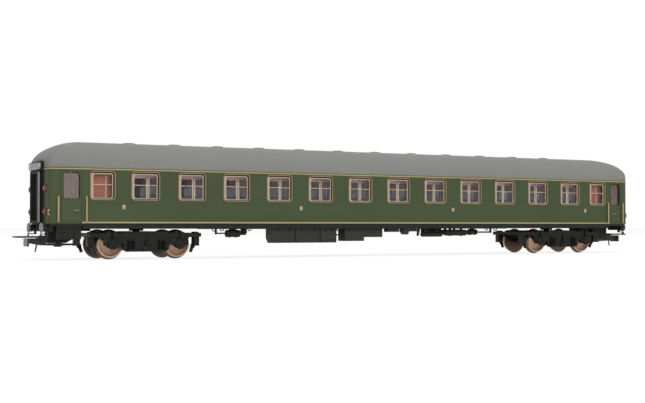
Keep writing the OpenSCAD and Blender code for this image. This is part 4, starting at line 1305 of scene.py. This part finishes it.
axle_profile = [(radius, -y) for radius, y in reversed(half_axle)] + [(1.36, 0)] + half_axle
for k, x in wheel_x.items():
    pair_work = bmesh.new()
    for side in (-1, 1):
        turned(pair_work, wheel_profile,
               axis_to((0, side, 0), (x, side * BACK_Y, FLANGE_R)), 96, loop=True)
    settle(f"wheel_pair_{k}", pair_work, wheel_bronze, f"wheels_{k}", body=f"wheelset_{k}", crease=35.0)
    axle_work = bmesh.new()
    turned(axle_work, axle_profile, axis_to((0, 1, 0), (x, 0, FLANGE_R)), 40)
    settle(f"axle_shaft_{k}", axle_work, axle_steel, f"axle_{k}", body=f"wheelset_{k}", crease=35.0)

# ---------------------------------------------------------------- couplers
# A moulded arm with a grey head swings under each end, and a block on the chassis covers
# its guide. The loop is blackened wire on a pin through the arm, with a tail that lifts it.

dark_wire = mixed("dark_wire", "coupler_plastic", (44, 44, 44), (66, 66, 66), [(1, 0.8)],
                  (0.36, 2.0, 0.16), (7.0, 0.003), Metallic=0.4)

coupler_plastic = Finish("coupler_plastic", "coupler_plastic")
head_share = coupler_plastic.ramp(abs(coupler_plastic.along("X")), 155.0, 155.05)
coupler_plastic.coat(
    coupler_plastic.blend(head_share, coupler_plastic.tones((40, 40, 38), (56, 56, 53), (1, 1.0)),
                          srgb(150, 150, 150)),
    (0.45, 1.5, 0.15), (5.0, 3.0, 0.005), Specular_IOR_Level=0.3)

LOOP_R = 0.35
TAIL_R = 0.32
LOOP_HALF = 4.0
LOOP_Z = 9.2
PIN_X = 148.5
PIN_Z = 9.05
BAR_X = PIN_X + 1.95
GUIDE_XS = (129.4, 133.6)
GUIDE_HALF = 3.0
GUIDE_ZS = (11.5, 13.5)
loop_tip = box("coupling_loop_rear")[1].x
guide_work = bmesh.new()
for label, end in (("front", -1), ("rear", 1)):
    moulded(f"coupler_moulding_{label}", 0.12, coupler_plastic,
            f"coupler_arm_{label}", body=f"coupler_{label}")
    loop_half = [(end * (loop_tip - LOOP_R), LOOP_Z), (end * (PIN_X + 1.2), LOOP_Z),
                 (end * PIN_X, PIN_Z)]
    loop_path = [(x, -LOOP_HALF, z) for x, z in reversed(loop_half)]
    loop_path += [(x, LOOP_HALF, z) for x, z in loop_half]
    wires(f"coupling_wire_{label}", [bent(loop_path, 1.1)], LOOP_R, dark_wire,
          f"coupling_loop_{label}", body=f"loop_{label}", closed=True)
    cross_bar = [(end * BAR_X, y, LOOP_Z) for y in (-LOOP_HALF, LOOP_HALF)]
    tail = bent([(end * BAR_X, 0, LOOP_Z), (end * (PIN_X + 2.05), 0, 6.0),
                 (end * (PIN_X + 2.65), 0, 3.2)], 0.8)
    wires(f"coupling_tail_{label}", [cross_bar, tail], TAIL_R, dark_wire, body=f"loop_{label}")
    slab(guide_work, (end * GUIDE_XS[0], -GUIDE_HALF, GUIDE_ZS[0]),
         (end * GUIDE_XS[1], GUIDE_HALF, GUIDE_ZS[1]), 0.1)
settle("coupler_guides", guide_work, black_frame)
